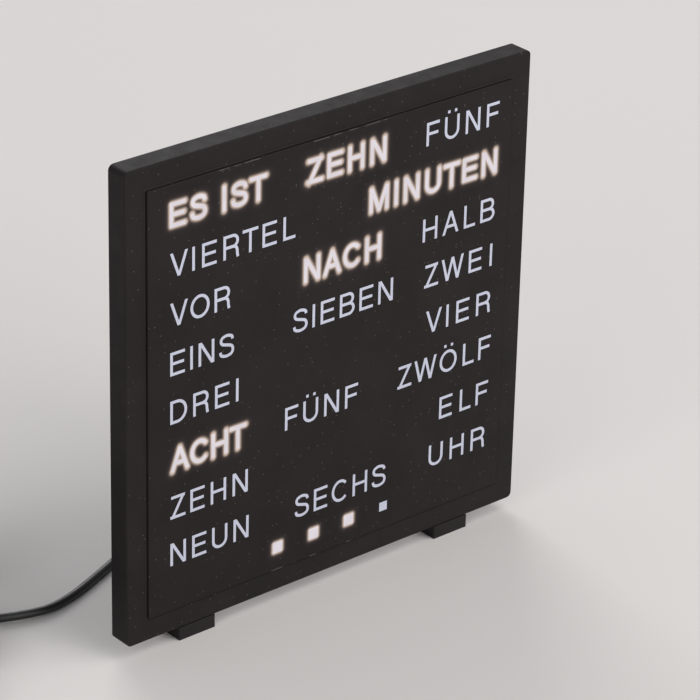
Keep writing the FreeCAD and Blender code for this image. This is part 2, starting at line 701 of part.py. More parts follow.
rectangle(
    entries,
    "-lug_reach - lug_side_gap",
    "lug_reach + lug_side_gap",
    "-lug_width / 2 - lug_side_gap",
    "lug_width / 2 + lug_side_gap",
)
pocket(housing, entries, "lug_cover", forward=True)
legs = face_sketch(housing, "contact_slots", "well_front", x="cell_x", y=f"{BOX_Z} + cell_z")
for side in ("-", ""):
    rectangle(
        legs,
        f"{side}leaf_leg - leaf",
        f"{side}leaf_leg + leaf * 2",
        "-leaf_width / 2 - leaf",
        "leaf_width / 2 + leaf",
    )
pocket(housing, legs, "well_floor")
openings = face_sketch(housing, "wall_openings", "back_inside", y=BOX_Z)
for k in range(len(BUTTONS)):
    circle(openings, f"button_first_x + {k} * button_pitch", "button_z", "button_radius + button_gap")
circle(openings, "jack_x", "jack_z", "jack_collar + fit_gap")
pocket(housing, openings, "tub_wall * 2")
passes = face_sketch(housing, "screw_passes", "flange_front")
four_corners(passes, "boss_pitch / 2", "boss_pitch / 2", "case_pass")
pocket(housing, passes, "flange")
place(housing)

# Screws: each a head and a shank, four of a kind
CASE_SCREW = ("boss_pitch / 2", "boss_pitch / 2", "head_radius", "head_high", "case_bore", "case_grip")
BOARD_SCREW = ("post_x", "post_z", "board_head", "board_head_high", "post_bore", "board_grip")
for label, height, head_at, from_back, screw in (
    ("case_screws", "face_mid", "frame_depth", True, CASE_SCREW),
    ("board_screws", "box_mid", "control_at", False, BOARD_SCREW),
):
    reach_x, reach_z, head, head_thick, shank, grip = screw
    screws = new_body(label)
    heads = face_sketch(screws, label + "_heads", head_at)
    four_corners(heads, reach_x, reach_z, head)
    pad(screws, heads, head_thick, forward=not from_back)
    shanks = face_sketch(screws, label + "_shanks", head_at)
    four_corners(shanks, reach_x, reach_z, f"{shank} - thread_gap")
    pad(screws, shanks, grip, forward=from_back)
    place(screws, z=height)

# The control board and what is soldered to it
control = new_body("control_board")
control_sketch = face_sketch(control, "control_outline", "control_at")
rectangle(
    control_sketch,
    "-control_width / 2",
    "control_width / 2",
    "-control_height / 2",
    "control_height / 2",
)
four_corners(control_sketch, "post_x", "post_z", "post_bore + post_pass")
pad(control, control_sketch, "board")
place(control, z="box_mid")

ON_BOARD = "front_plane + control_back"
BOARD_FOOT = "box_mid - control_height / 2"
chip = new_body("clock_chip")
chip_sketch = face_sketch(chip, "chip_body", "chip_lift")
rectangle(chip_sketch, "-chip_long / 2", "chip_long / 2", "-chip_wide / 2", "chip_wide / 2")
pad(chip, chip_sketch, "chip_high")
leg_sketch = face_sketch(chip, "chip_legs", "0")
upper_legs = ("chip_wide / 2", "chip_wide / 2 + leg_out")
lower_legs = ("-chip_wide / 2 - leg_out", "-chip_wide / 2")
for low, high in (upper_legs, lower_legs):
    for k in range(CHIP_LEGS):
        middle = f"({k} - {(CHIP_LEGS - 1) / 2}) * leg_pitch"
        rectangle(leg_sketch, f"{middle} - leg_wide / 2", f"{middle} + leg_wide / 2", low, high)
pad(chip, leg_sketch, "leg_high")
place(chip, "chip_x", ON_BOARD, "box_mid - chip_low")

crystal = new_body("timing_crystal")
crystal_sketch = face_sketch(crystal, "crystal_can", "0")
rectangle(crystal_sketch, "-crystal_long / 2", "crystal_long / 2", "-crystal_wide / 2", "crystal_wide / 2")
solid = pad(crystal, crystal_sketch, "crystal_high")
rounded(crystal, solid, "crystal_wide / 2 - can_bevel / 2", along_depth)
place(crystal, "chip_x + crystal_right", ON_BOARD, "box_mid - crystal_low")

capacitors = new_body("capacitors")
capacitor_sketch = face_sketch(capacitors, "capacitor_cans", "0")
for side in ("-", ""):
    circle(capacitor_sketch, f"{side}can_pitch / 2", "0", "can_radius")
solid = pad(capacitors, capacitor_sketch, "can_high")
can_top = value("can_high")
rounded(capacitors, solid, "can_bevel", lambda m, d, e: abs(m.y - can_top) < 0.01, kind="Chamfer")
place(capacitors, "chip_x + cans_right", ON_BOARD, f"{BOARD_FOOT} + cans_low")

header = new_body("board_header")
header_sketch = face_sketch(header, "header_block", "led_board_back")
rectangle(header_sketch, "-header_long / 2", "header_long / 2", "-header_wide / 2", "header_wide / 2")
pad(header, header_sketch, "control_at - led_board_back")
place(header, "chip_x + header_right", "front_plane", f"{BOARD_FOOT} + header_low")

# The three push switches, their plungers and the caps in the back wall
switches = new_body("tact_switches")
switch_sketch = face_sketch(switches, "switch_blocks", "control_back")
for k in range(len(BUTTONS)):
    x = f"button_first_x + {k} * button_pitch"
    rectangle(
        switch_sketch,
        f"{x} - switch_side / 2",
        f"{x} + switch_side / 2",
        "-switch_side / 2",
        "switch_side / 2",
    )
pad(switches, switch_sketch, "switch_high")
switch_bores = face_sketch(switches, "switch_bores", "control_back + switch_high")
for k in range(len(BUTTONS)):
    circle(switch_bores, f"button_first_x + {k} * button_pitch", "0", "plunger_radius + contact_gap")
pocket(switches, switch_bores, "plunger_in + button_travel + button_gap", forward=True)
place(switches, z="box_mid + button_z")

for k, use in enumerate(BUTTONS):
    where = (f"button_first_x + {k} * button_pitch", "front_plane", "box_mid + button_z")
    plunger = new_body(use + "_plunger")
    stem = face_sketch(plunger, use + "_stem", "control_back + switch_high - plunger_in")
    circle(stem, "0", "0", "plunger_radius")
    pad(plunger, stem, "plunger_in + plunger_out")
    place(plunger, *where)
    button = new_body(use + "_button")
    profile = sketch(button, "XY_Plane", use + "_profile")
    outline(
        profile,
        (
            ("0", "plunger_end"),
            ("plunger_radius + 0.6", "plunger_end"),
            ("plunger_radius + 0.6", "back_inside - collar_thick"),
            ("button_radius + button_collar", "back_inside - collar_thick"),
            ("button_radius + button_collar", "back_inside"),
            ("button_radius", "back_inside"),
            ("button_radius", "body_depth + button_proud - 0.5"),
            ("button_radius - 0.5", "body_depth + button_proud"),
            ("button_radius - 1.6", "body_depth + button_proud"),
            ("button_radius - 2.2", "body_depth + button_proud - 0.35"),
            ("0", "body_depth + button_proud - 0.35"),
        ),
    )
    turned(button, profile)
    place(button, *where)

# The low-voltage socket and its centre contact
jack = new_body("dc_jack")
jack_block = face_sketch(jack, "jack_block", "control_back")
square(jack_block, "jack_side")
pad(jack, jack_block, "back_inside - control_back")
collar = face_sketch(jack, "jack_collar_ring", "back_inside")
circle(collar, "0", "0", "jack_collar")
pad(jack, collar, "tub_wall")
jack_bore = face_sketch(jack, "jack_bore", "body_depth")
circle(jack_bore, "0", "0", "barrel_radius + contact_gap")
pocket(jack, jack_bore, "body_depth - control_back - jack_floor", forward=True)
place(jack, "jack_x", "front_plane", "jack_height")

contact = new_body("jack_pin")
contact_sketch = face_sketch(contact, "jack_pin_rod", "control_back + jack_floor")
circle(contact_sketch, "0", "0", "barrel_bore - contact_gap")
solid = pad(contact, contact_sketch, "body_depth - control_back - jack_floor - 1.2")
rounded(contact, solid, "barrel_bore / 3", lambda m, d, e: m.y > value("back_inside"), kind="Chamfer")
place(contact, "jack_x", "front_plane", "jack_height")

# The coin cell, its two spring contacts and the coin-turn cap
cell = new_body("backup_cell")
cell_profile = sketch(cell, "XY_Plane", "cell_profile")
outline(
    cell_profile,
    (
        ("0", "cell_front"),
        ("cell_radius - 1.4", "cell_front"),
        ("cell_radius - 1", "cell_front + 0.5"),
        ("cell_radius - 0.3", "cell_front + 0.5"),
        ("cell_radius", "cell_front + 0.8"),
        ("cell_radius", "cell_back - 0.3"),
        ("cell_radius - 0.3", "cell_back"),
        ("0", "cell_back"),
    ),
)
turned(cell, cell_profile)
place(cell, "cell_x", "front_plane", "box_mid + cell_z")

LOWER_LEAF = (
    ("-leaf_leg", "control_back"),
    ("-leaf_leg", "well_inside + leaf"),
    ("-leaf_in", "cell_front"),
    ("leaf_past", "cell_front"),
    ("leaf_past", "cell_front - leaf"),
    ("-leaf_in + leaf / 2", "cell_front - leaf"),
    ("-leaf_leg + leaf * 1.5", "well_inside"),
    ("-leaf_leg + leaf", "well_inside - leaf"),
    ("-leaf_leg + leaf", "control_back"),
)
SIDE_LEAF = (
    ("leaf_leg", "control_back"),
    ("leaf_leg", "well_inside + leaf"),
    ("cell_radius + leaf_touch", "well_inside + leaf"),
    ("cell_radius + leaf_touch", "cell_front + leaf_up"),
    ("cell_radius + leaf_touch + leaf", "cell_front + leaf_up"),
    ("cell_radius + leaf_touch + leaf", "well_inside"),
    ("leaf_leg + leaf", "well_inside"),
    ("leaf_leg + leaf", "control_back"),
)
for label, strip in (("cell_contact_minus", LOWER_LEAF), ("cell_contact_plus", SIDE_LEAF)):
    leaf = new_body(label)
    leaf_sketch = sketch(leaf, "XY_Plane", label + "_strip", lift="-leaf_width / 2")
    outline(leaf_sketch, strip)
    pad(leaf, leaf_sketch, "leaf_width", forward=True)
    place(leaf, "cell_x", "front_plane", "box_mid + cell_z")

cap = new_body("battery_cap")
cap_profile = sketch(cap, "XY_Plane", "cap_profile")
outline(
    cap_profile,
    (
        ("0", "cap_inside"),
        ("cap_radius", "cap_inside"),
        ("cap_radius", "body_depth - 0.4"),
        ("cap_radius - 0.4", "body_depth"),
        ("0", "body_depth"),
    ),
)
turned(cap, cap_profile)
lugs = face_sketch(cap, "cap_lugs", "lug_back - lug_thick")
for left, right in (("-lug_reach", "-cap_radius + lug_root"), ("cap_radius - lug_root", "lug_reach")):
    rectangle(lugs, left, right, "-lug_width / 2", "lug_width / 2")
pad(cap, lugs, "lug_thick")
coin_slot = face_sketch(cap, "coin_slot", "body_depth")
rectangle(coin_slot, "-coin_slot_long / 2", "coin_slot_long / 2", "-coin_slot_wide / 2", "coin_slot_wide / 2")
pocket(cap, coin_slot, "coin_slot_deep", forward=True)
place(cap, "cell_x", "front_plane", "box_mid + cell_z")

# The feet: a block under the frame, a tapering runner, an upright behind the frame and a tongue into its slot
for label, middle in (("foot_left", "-foot_left_x"), ("foot_right", "foot_right_x")):
    foot = new_body(label)
    side_view = sketch(foot, "YZ_Plane", label + "_side", lift="-foot_width / 2")
    outline(
        side_view,
        (
            ("0", "-foot_drop"),
            ("foot_length", "-foot_drop"),
            ("foot_length", "foot_tail - foot_drop"),
            ("frame_depth + fit_gap + heel_thick + 1", "0"),
            ("frame_depth + fit_gap + heel_thick", "heel"),
            ("frame_depth + fit_gap", "heel"),
            ("frame_depth + fit_gap", "0"),
            ("0", "0"),
        ),
    )
    solid = pad(foot, side_view, "foot_width", forward=True)
    tail = value("foot_length")
    rounded(foot, solid, "foot_tail / 2", lambda m, d, e: abs(m.y - tail) < 0.01 and abs(d.z) > 0.99)
    tongue = sketch(foot, "XY_Plane", label + "_tongue", lift="0")
    rectangle(tongue, "-tongue_width / 2", "tongue_width / 2", "tongue_at", "tongue_at + tongue_thick")
    pad(foot, tongue, "tongue_high", forward=True)
    place(foot, middle, "front_plane", "foot_drop")

# The angled low-voltage plug: metal sleeve, moulded body and strain relief
barrel = new_body("plug_barrel")
barrel_sketch = face_sketch(barrel, "barrel_tube", "body_depth - barrel_length")
circle(barrel_sketch, "0", "0", "barrel_radius")
circle(barrel_sketch, "0", "0", "barrel_bore")
pad(barrel, barrel_sketch, "barrel_length")
place(barrel, "jack_x", "front_plane", "jack_height")

plug = new_body("plug_body")
plug_sketch = face_sketch(plug, "plug_grip", "body_depth")
circle(plug_sketch, "0", "0", "plug_radius")
solid = pad(plug, plug_sketch, "plug_length")
plug_end = value("body_depth + plug_length")
rounded(plug, solid, "plug_radius / 3", lambda m, d, e: abs(m.y - plug_end) < 0.01, kind="Chamfer")
arm = sketch(plug, "XY_Plane", "plug_arm_round")
circle(arm, "0", "plug_axis", "arm_radius")
pad(plug, arm, "plug_arm")
place(plug, "jack_x", "front_plane", "jack_height")

relief = new_body("plug_relief")
relief_profile = sketch(relief, "XZ_Plane", "relief_profile")
outline(
    relief_profile,
    (
        ("0", "-relief_length"),
        ("relief_thin", "-relief_length"),
        ("arm_radius - 0.5", "-1"),
        ("arm_radius - 0.5", "0"),
        ("0", "0"),
    ),
)
turned(relief, relief_profile)
place(relief, "jack_x", "front_plane + plug_axis", "jack_height - plug_arm")


def tangent_path(points):
    """Straight runs joined by tangent arcs, as large as the runs allow."""
    spots = [V(*p) for p in points]
    edges, radii, start = [], [], spots[0]
    for before, here, after in zip(spots, spots[1:], spots[2:]):
        inward = (before - here).normalize()
        outward = (after - here).normalize()
        run = min((here - before).Length, (after - here).Length)
        half_turn = (math.pi - inward.getAngle(outward)) / 2
        reach = ARC_SHARE * run
        radius = reach / math.tan(half_turn)
        radii.append(radius)
        leave = here + inward * reach
        meet = here + outward * reach
        middle = (inward + outward).normalize()
        top = here + middle * (radius / math.cos(half_turn) - radius)
        edges.append(Part.LineSegment(start, leave).toShape())
        edges.append(Part.Arc(leave, top, meet).toShape())
        start = meet
    edges.append(Part.LineSegment(start, spots[-1]).toShape())
    return Part.Wire(edges), radii


# The lead from the plug to the coil
cord_radius = value("cord_radius")
reach_angle = math.radians(value("coil_angle"))
heading = V(-math.cos(reach_angle), math.sin(reach_angle), 0)
sideways = V(math.sin(reach_angle), math.cos(reach_angle), 0)
coil_middle = V(value("coil_x"), value("coil_y"), cord_radius + value("tie_thick"))
touch = coil_middle + sideways * value("coil_outer")
coil_start = touch - heading * value("coil_lead")
path, bend_radii = tangent_path(ROUTE + ((coil_start.x, coil_start.y, coil_start.z),))
ring = Part.Wire(Part.Circle(V(*ROUTE[0]), V(*ROUTE[1]) - V(*ROUTE[0]), cord_radius).toShape())
tube = path.makePipeShell([ring], True, False)
print("lead bend radii", [round(r, 1) for r in bend_radii], "length", round(path.Length, 1))
full = math.pi * cord_radius**2 * path.Length
print("lead volume against section times length", round(tube.Volume / full, 4))
cord = doc.addObject("Part::Feature", "supply_cord")
cord.Shape = tube

# The coil: a ring of turns with a straight end each way
coil_outside = value("coil_outer") + cord_radius
coil_inside = 2 * value("coil_mid") - coil_outside
coil_low = value("tie_thick")
coil_high = value("coil_top_turn") + cord_radius
section = Part.makePolygon(
    [
        V(coil_outside, 0, coil_low),
        V(coil_outside, 0, coil_high),
        V(coil_inside, 0, coil_high),
        V(coil_inside, 0, coil_low),
        V(coil_outside, 0, coil_low),
    ]
)
turns = Part.Face(section).revolve(V(0, 0, 0), V(0, 0, 1), 360)
circles = [edge for edge in turns.Edges if edge.Curve.TypeId == "Part::GeomCircle"]
turns = turns.makeChamfer(cord_radius * 0.6, circles)
turns.translate(V(coil_middle.x, coil_middle.y, 0))
lead_end = Part.makeCylinder(cord_radius, value("coil_lead"), coil_start, heading)
tail_start = V(value("adapter_x"), coil_middle.y, value("coil_top_turn"))
tail_end = Part.makeCylinder(cord_radius, value("coil_tail"), tail_start, V(0, 1, 0))
coil = doc.addObject("Part::Feature", "supply_cord_coil")
coil.Shape = turns.fuse([lead_end, tail_end]).removeSplitter()

# The tie round the coil's turns, on the side away from the adapter
tie = new_body("cord_tie")
inner_edge = "2 * coil_mid - coil_outer - cord_radius"
tie_sketch = sketch(tie, "YZ_Plane", "tie_loop", lift="-tie_width / 2")
rectangle(
    tie_sketch,
    "-coil_outer - cord_radius - fit_gap - tie_thick",
    f"-({inner_edge}) + fit_gap + tie_thick",
    "0",
    "coil_top_turn + cord_radius + fit_gap + tie_thick",
)
rectangle(
    tie_sketch,
    "-coil_outer - cord_radius - fit_gap",
    f"-({inner_edge}) + fit_gap",
    "tie_thick",
    "coil_top_turn + cord_radius + fit_gap",
)
pad(tie, tie_sketch, "tie_width", forward=True)
place(tie, "coil_x", "coil_y", "0")

# The mains adapter, lying on its back: relief, two shells and the pins
adapter_relief = new_body("adapter_relief")
taper = sketch(adapter_relief, "XY_Plane", "adapter_taper")
outline(
    taper,
    (
        ("0", "-adapter_relief_length"),
        ("relief_thin", "-adapter_relief_length"),
        ("adapter_relief_wide", "-1.5"),
        ("adapter_relief_wide", "0"),
        ("0", "0"),
    ),
)
turned(adapter_relief, taper)
place(adapter_relief, "adapter_x", "adapter_y", "coil_top_turn")

rear_shell = new_body("adapter_rear_shell")
shell_outline = sketch(rear_shell, "XY_Plane", "rear_shell_outline")
rectangle(shell_outline, "-adapter_width / 2", "adapter_width / 2", "0", "adapter_height")
solid = pad(rear_shell, shell_outline, "adapter_back", forward=True)
solid = rounded(rear_shell, solid, "adapter_round", lambda m, d, e: abs(d.z) > 0.99)
rounded(rear_shell, solid, "adapter_round / 4", lambda m, d, e: abs(m.z) < 0.01, kind="Chamfer")
place(rear_shell, "adapter_x", "adapter_y", "0")

front_shell = new_body("adapter_front_shell")
step_outline = sketch(front_shell, "XY_Plane", "front_shell_step")
rectangle(
    step_outline,
    "-adapter_width / 2 + seam",
    "adapter_width / 2 - seam",
    "seam",
    "adapter_height - seam",
)
solid = pad(front_shell, step_outline, "seam", forward=True)
rounded(front_shell, solid, "adapter_round - seam", lambda m, d, e: abs(d.z) > 0.99)
front_outline = sketch(front_shell, "XY_Plane", "front_shell_outline", lift="seam")
rectangle(front_outline, "-adapter_width / 2", "adapter_width / 2", "0", "adapter_height")
solid = pad(front_shell, front_outline, "adapter_front - seam", forward=True)
shell_edge = value("adapter_width / 2")
solid = rounded(
    front_shell,
    solid,
    "adapter_round",
    lambda m, d, e: abs(d.z) > 0.99 and m.z > value("seam") and abs(abs(m.x) - shell_edge) < 0.01,
)
shell_top = value("adapter_front")
rounded(front_shell, solid, "adapter_round / 4", lambda m, d, e: abs(m.z - shell_top) < 0.01, kind="Chamfer")
nose = sketch(front_shell, "XY_Plane", "plug_nose", lift="adapter_front - 1", y="adapter_height / 2")
rectangle(nose, "-nose_long / 2", "nose_long / 2", "-nose_wide / 2", "nose_wide / 2")
solid = pad(front_shell, nose, "nose_high + 1", forward=True)
rounded(
    front_shell,
    solid,
    "nose_wide / 2 - 0.2",
    lambda m, d, e: abs(d.z) > 0.99 and m.z > value("adapter_front"),
)
place(front_shell, "adapter_x", "adapter_y", "adapter_back")

pins = new_body("adapter_pins")
pin_sketch = sketch(pins, "XY_Plane", "pin_rounds")
for side in ("-", ""):
    circle(pin_sketch, f"{side}pin_pitch / 2", "0", "pin_radius")
solid = pad(pins, pin_sketch, "pin_length", forward=True)
pin_tip = value("pin_length")
rounded(pins, solid, "pin_radius * 0.45", lambda m, d, e: abs(m.z - pin_tip) < 0.01, kind="Chamfer")
place(pins, "adapter_x", "adapter_y + adapter_height / 2", "adapter_back + adapter_front + nose_high")

doc.recompute()

# Check everything, then write each piece to a file of its own
for item in doc.Objects:
    if "Invalid" in item.State or "Error" in item.State:
        raise RuntimeError(f"{item.Label} failed: {item.State}")
pieces = [item for item in doc.Objects if item.TypeId in ("PartDesign::Body", "Part::Feature")]
for item in pieces:
    if item.Shape.isNull() or not item.Shape.isValid() or not item.Shape.Solids:
        raise RuntimeError(f"{item.Label} has no valid solid")
os.makedirs("parts", exist_ok=True)
for item in pieces:
    item.Shape.exportStep(f"parts/{item.Label}.step")
print(len(pieces), "pieces,", sum(len(item.Shape.Solids) for item in pieces), "solids")
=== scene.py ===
# %% [markdown]
# A word clock tells the time in words that light up on a black face. This lesson dresses the clock's
# measured frame: every moulded piece comes in at its real size, and each cell adds one finish or one piece.
# The frame is loaded first, because everything later takes its place from it.

# %% Load the measured frame
import json
import math

import bmesh
import bpy
import numpy as np
from mathutils import Matrix, Vector, geometry


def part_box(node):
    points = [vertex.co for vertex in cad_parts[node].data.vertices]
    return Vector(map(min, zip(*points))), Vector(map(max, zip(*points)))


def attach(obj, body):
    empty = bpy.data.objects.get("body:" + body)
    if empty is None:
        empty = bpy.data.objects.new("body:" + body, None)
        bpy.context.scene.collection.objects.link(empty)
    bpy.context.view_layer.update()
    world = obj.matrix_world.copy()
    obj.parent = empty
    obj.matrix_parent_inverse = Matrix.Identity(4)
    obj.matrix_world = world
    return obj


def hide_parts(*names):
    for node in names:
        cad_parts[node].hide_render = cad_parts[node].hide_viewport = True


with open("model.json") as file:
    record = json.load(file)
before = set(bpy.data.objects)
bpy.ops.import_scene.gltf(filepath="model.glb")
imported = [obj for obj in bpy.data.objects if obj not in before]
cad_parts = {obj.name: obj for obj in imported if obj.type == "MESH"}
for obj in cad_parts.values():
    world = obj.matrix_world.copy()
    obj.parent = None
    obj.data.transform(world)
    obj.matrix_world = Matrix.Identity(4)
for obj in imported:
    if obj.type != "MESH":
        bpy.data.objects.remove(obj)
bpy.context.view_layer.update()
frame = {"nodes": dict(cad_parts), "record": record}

MM = 0.001
nodes = frame["nodes"]

# %% [markdown]
# The face is a square, and all its words are placed from the square's middle. Its corners come from the
# frame moulding, so nothing here repeats the clock's size. Depth is counted from the front of that moulding.

# %% Find the face
frame_low, frame_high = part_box("front_frame")
plate_low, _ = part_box("face_plate")
face_middle = Vector(((frame_low.x + frame_high.x) / 2, frame_low.y, (frame_low.z + frame_high.z) / 2))
print("face middle in mm", [round(v / MM, 2) for v in face_middle])
print("plate stands out in mm", round((frame_low.y - plate_low.y) / MM, 2))

# %% [markdown]
# The camera comes before any looks, since it says what will be seen. The face was matched to the picture
# as a flat square seen from the left and above: two angles, a small roll and a distance give the same
# four corners. A long lens keeps the square's sides almost parallel, as they are in the picture.

# %% Place the camera
AZIMUTH, ELEVATION, ROLL = (math.radians(a) for a in (-40.58, 26.35, 1.32))
DISTANCE = 1193.5 * MM
AIM_RIGHT, AIM_UP = 6.0 * MM, -1.2 * MM
FOCAL_PIXELS, FRAME_PIXELS = 1989.7, 375.0
SENSOR_MM = 36.0

back = Vector(
    (
        math.sin(AZIMUTH) * math.cos(ELEVATION),
        -math.cos(AZIMUTH) * math.cos(ELEVATION),
        math.sin(ELEVATION),
    )
)
level_right = (-back).cross(Vector((0, 0, 1))).normalized()
level_up = level_right.cross(-back)
right = level_right * math.cos(ROLL) + level_up * math.sin(ROLL)
up = level_up * math.cos(ROLL) - level_right * math.sin(ROLL)
target = face_middle + right * AIM_RIGHT + up * AIM_UP
camera_data = bpy.data.cameras.new("camera")
camera_data.sensor_width = SENSOR_MM
camera_data.lens = SENSOR_MM * FOCAL_PIXELS / FRAME_PIXELS
camera_data.clip_start, camera_data.clip_end = 0.05, 50.0


def shown(name, data):
    """An object that shows some data, linked to the scene."""
    item = bpy.data.objects.new(name, data)
    bpy.context.scene.collection.objects.link(item)
    return item


camera = shown("camera", camera_data)
turned_to_face = Matrix((right, up, back)).transposed().to_4x4()
camera.matrix_world = Matrix.Translation(target + back * DISTANCE) @ turned_to_face
bpy.context.scene.camera = camera
print("lens in mm", round(camera_data.lens, 1))

# %% [markdown]
# A black lead runs from the back of the clock over the floor. A cord is one smooth curve of fixed length,
# so it is made as a NURBS line through listed points with a round bevel. The first of them go down from
# the plug, bend to the floor behind the clock and run out to the left, as the real lead lies in the picture.

# %% Lay the lead's route
CORD_RADIUS_MM = 1.5
CORD_RADIUS = CORD_RADIUS_MM * MM
ROUTE_MM = (
    (5, 23.4, 31.25),
    (5, 23.4, 19.2),
    (0.4, 27.9, 8),
    (-7.7, 35.9, 1.5),
    (-20, 42.6, 1.5),
    (-34, 43, 1.5),
    (-56, 33.4, 1.5),
    (-76, 25.2, 1.5),
    (-91, 23.6, 2),
)
print("points on the route", len(ROUTE_MM), "half a lead in mm", CORD_RADIUS_MM)

# %% [markdown]
# The part of the lead that nobody sees is wound into a coil. Each turn has a slot, which is a radius and a
# height, and the slots lie side by side and layer on layer, a diameter apart. A loop walks through the slots,
# and in the last part of each turn the lead steps over to the next one, as on a real coil.

# %% Wind the rest into a coil
COIL_MIDDLE_MM = (-132, 24)
COIL_RADII_MM = (18, 15, 12)
COIL_LAYERS = 6
COIL_LOW_MM = 2.0
ARRIVAL = math.radians(70)
POINTS_PER_TURN = 16
STEP_OVER = 0.3

slots_of_turns = []
for layer in range(COIL_LAYERS):
    columns = COIL_RADII_MM if layer % 2 == 0 else COIL_RADII_MM[::-1]
    slots_of_turns += [(radius, COIL_LOW_MM + layer * 2 * CORD_RADIUS_MM) for radius in columns]
slots_of_turns.append(slots_of_turns[-1])
last_slot = len(slots_of_turns) - 1
swing = last_slot * math.tau - ARRIVAL
steps = round(swing / math.tau * POINTS_PER_TURN)
hug = 2 / (1 + math.cos(math.tau / POINTS_PER_TURN / 2))

coil_points = []
for step in range(steps + 1):
    turn, share = divmod(step / steps * last_slot, 1)
    here = slots_of_turns[int(turn)]
    there = slots_of_turns[min(int(turn) + 1, last_slot)]
    ease = max(0.0, (share - 1 + STEP_OVER) / STEP_OVER)
    ease = ease * ease * (3 - 2 * ease)
    radius = (here[0] + (there[0] - here[0]) * ease) * hug
    height = here[1] + (there[1] - here[1]) * ease
    angle = ARRIVAL + swing * step / steps
    coil_points.append(
        (
            COIL_MIDDLE_MM[0] + radius * math.cos(angle),
            COIL_MIDDLE_MM[1] + radius * math.sin(angle),
            height,
        )
    )
sleeve_low, sleeve_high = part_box("adapter_relief")
adapter_end = (sleeve_low.x + sleeve_high.x) / 2 / MM, sleeve_low.y / MM, coil_points[-1][2]
cord_points = [*ROUTE_MM, *coil_points, adapter_end]
print("points on the lead", len(cord_points), "of them in the coil", len(coil_points))

# %% [markdown]
# The route becomes a curve object. Its control points pull the line towards them without lying on it, which
# gives the soft bends of real cable. A round bevel of one metre times each point's own small radius makes the
# thickness, and so the curve's box stays as tight as the cable is.

# %% Make the lead from its points
def smooth_line(name, points, radius=0.0):
    """A NURBS line with control points in millimetres and a thickness."""
    curve = bpy.data.curves.new(name, "CURVE")
    curve.dimensions = "3D"
    curve.bevel_depth = 1.0 if radius else 0.0
    curve.bevel_resolution = 4
    curve.resolution_u = 5
    curve.use_fill_caps = True
    spline = curve.splines.new("NURBS")
    spline.points.add(len(points) - 1)
    for point, place in zip(spline.points, points):
        point.co = (*(v * MM for v in place), 1.0)
        point.radius = radius or 1.0
    spline.order_u = 3
    spline.use_endpoint_u = True
    return shown(name, curve)


lead = smooth_line("supply_lead", cord_points, CORD_RADIUS)
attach(lead, "clock")
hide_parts("supply_cord", "supply_cord_coil")
lead_box = [round(v / MM, 1) for v in lead.bound_box[0]], [round(v / MM, 1) for v in lead.bound_box[6]]
print("lead from", lead_box[0], "to", lead_box[1])

# %% [markdown]
# Every finish starts the same way: a new material with its shader, and noise in the piece's own coordinates,
# so that it is fixed to the piece and moves with it. Two more helpers turn a noise into what a shader can use:
# a ramp gives it two colours, and a range gives it two numbers.

# %% Helpers that every finish shares
def blank_material(name):
    """A new material with its shader, its nodes and a function that links them."""
    material = bpy.data.materials.new(f"{name}_finish")
    material.use_nodes = True
    tree = material.node_tree
    return material, tree.nodes["Principled BSDF"], tree.nodes, tree.links.new


def noise_at(tree_nodes, link, size_mm, detail=3.0):
    """Noise whose blobs are about so many millimetres wide, fixed to the piece."""
    coordinates = tree_nodes.new("ShaderNodeTexCoord")
    noise = tree_nodes.new("ShaderNodeTexNoise")
    noise.inputs["Scale"].default_value = 1 / (size_mm * MM)
    noise.inputs["Detail"].default_value = detail
    link(coordinates.outputs["Object"], noise.inputs["Vector"])
    return noise


def ramp(tree_nodes, link, source, dark, light, low=0.35, high=0.65):
    """Two colours spread over a noise."""
    node = tree_nodes.new("ShaderNodeValToRGB")
    node.color_ramp.elements[0].position = low
    node.color_ramp.elements[1].position = high
    node.color_ramp.elements[0].color = (*dark, 1)
    node.color_ramp.elements[1].color = (*light, 1)
    link(source, node.inputs["Fac"])
    return node


def spread(tree_nodes, link, source, low, high):
    """A noise mapped to a range of numbers."""
    node = tree_nodes.new("ShaderNodeMapRange")
    node.inputs["From Min"].default_value = 0.3
    node.inputs["From Max"].default_value = 0.7
    node.inputs["To Min"].default_value = low
    node.inputs["To Max"].default_value = high
    link(source, node.inputs["Value"])
    return node.outputs["Result"]


print("helpers for finishes:", [helper.__name__ for helper in (blank_material, noise_at, ramp, spread)])

# %% [markdown]
# Most of the clock is black plastic, but three different blacks: the frame and feet come from a mould with
# a fine spark-eroded grain, the plate is a smoother satin sheet, and the lead is a soft vinyl. One helper
# builds them all: slow noise shifts the colour a little, quicker noise the roughness, and the finest bump.

# %% A helper for moulded plastics
DRIFT_MM = 22
PATCH_MM = 5
UNEVEN = 0.05


def moulded(name, colour, roughness, grain_mm, depth_mm, drift=0.12, metallic=0.0, level=0.5):
    """Plastic or metal with slow colour drift, uneven gloss and a fine grain."""
    material, shader, tree_nodes, link = blank_material(name)
    slow = noise_at(tree_nodes, link, DRIFT_MM, 2)
    dark = [c * (1 - drift) for c in colour]
    light = [min(1, c * (1 + drift)) for c in colour]
    drifting = ramp(tree_nodes, link, slow.outputs["Fac"], dark, light)
    link(drifting.outputs["Color"], shader.inputs["Base Color"])
    patchy = noise_at(tree_nodes, link, PATCH_MM, 4)
    uneven = spread(tree_nodes, link, patchy.outputs["Fac"], roughness - UNEVEN, roughness + UNEVEN)
    link(uneven, shader.inputs["Roughness"])
    fine = noise_at(tree_nodes, link, grain_mm, 2)
    bump = tree_nodes.new("ShaderNodeBump")
    bump.inputs["Strength"].default_value = 0.5
    bump.inputs["Distance"].default_value = depth_mm * MM
    link(fine.outputs["Fac"], bump.inputs["Height"])
    link(bump.outputs["Normal"], shader.inputs["Normal"])
    shader.inputs["Metallic"].default_value = metallic
    shader.inputs["Specular IOR Level"].default_value = level
    return material


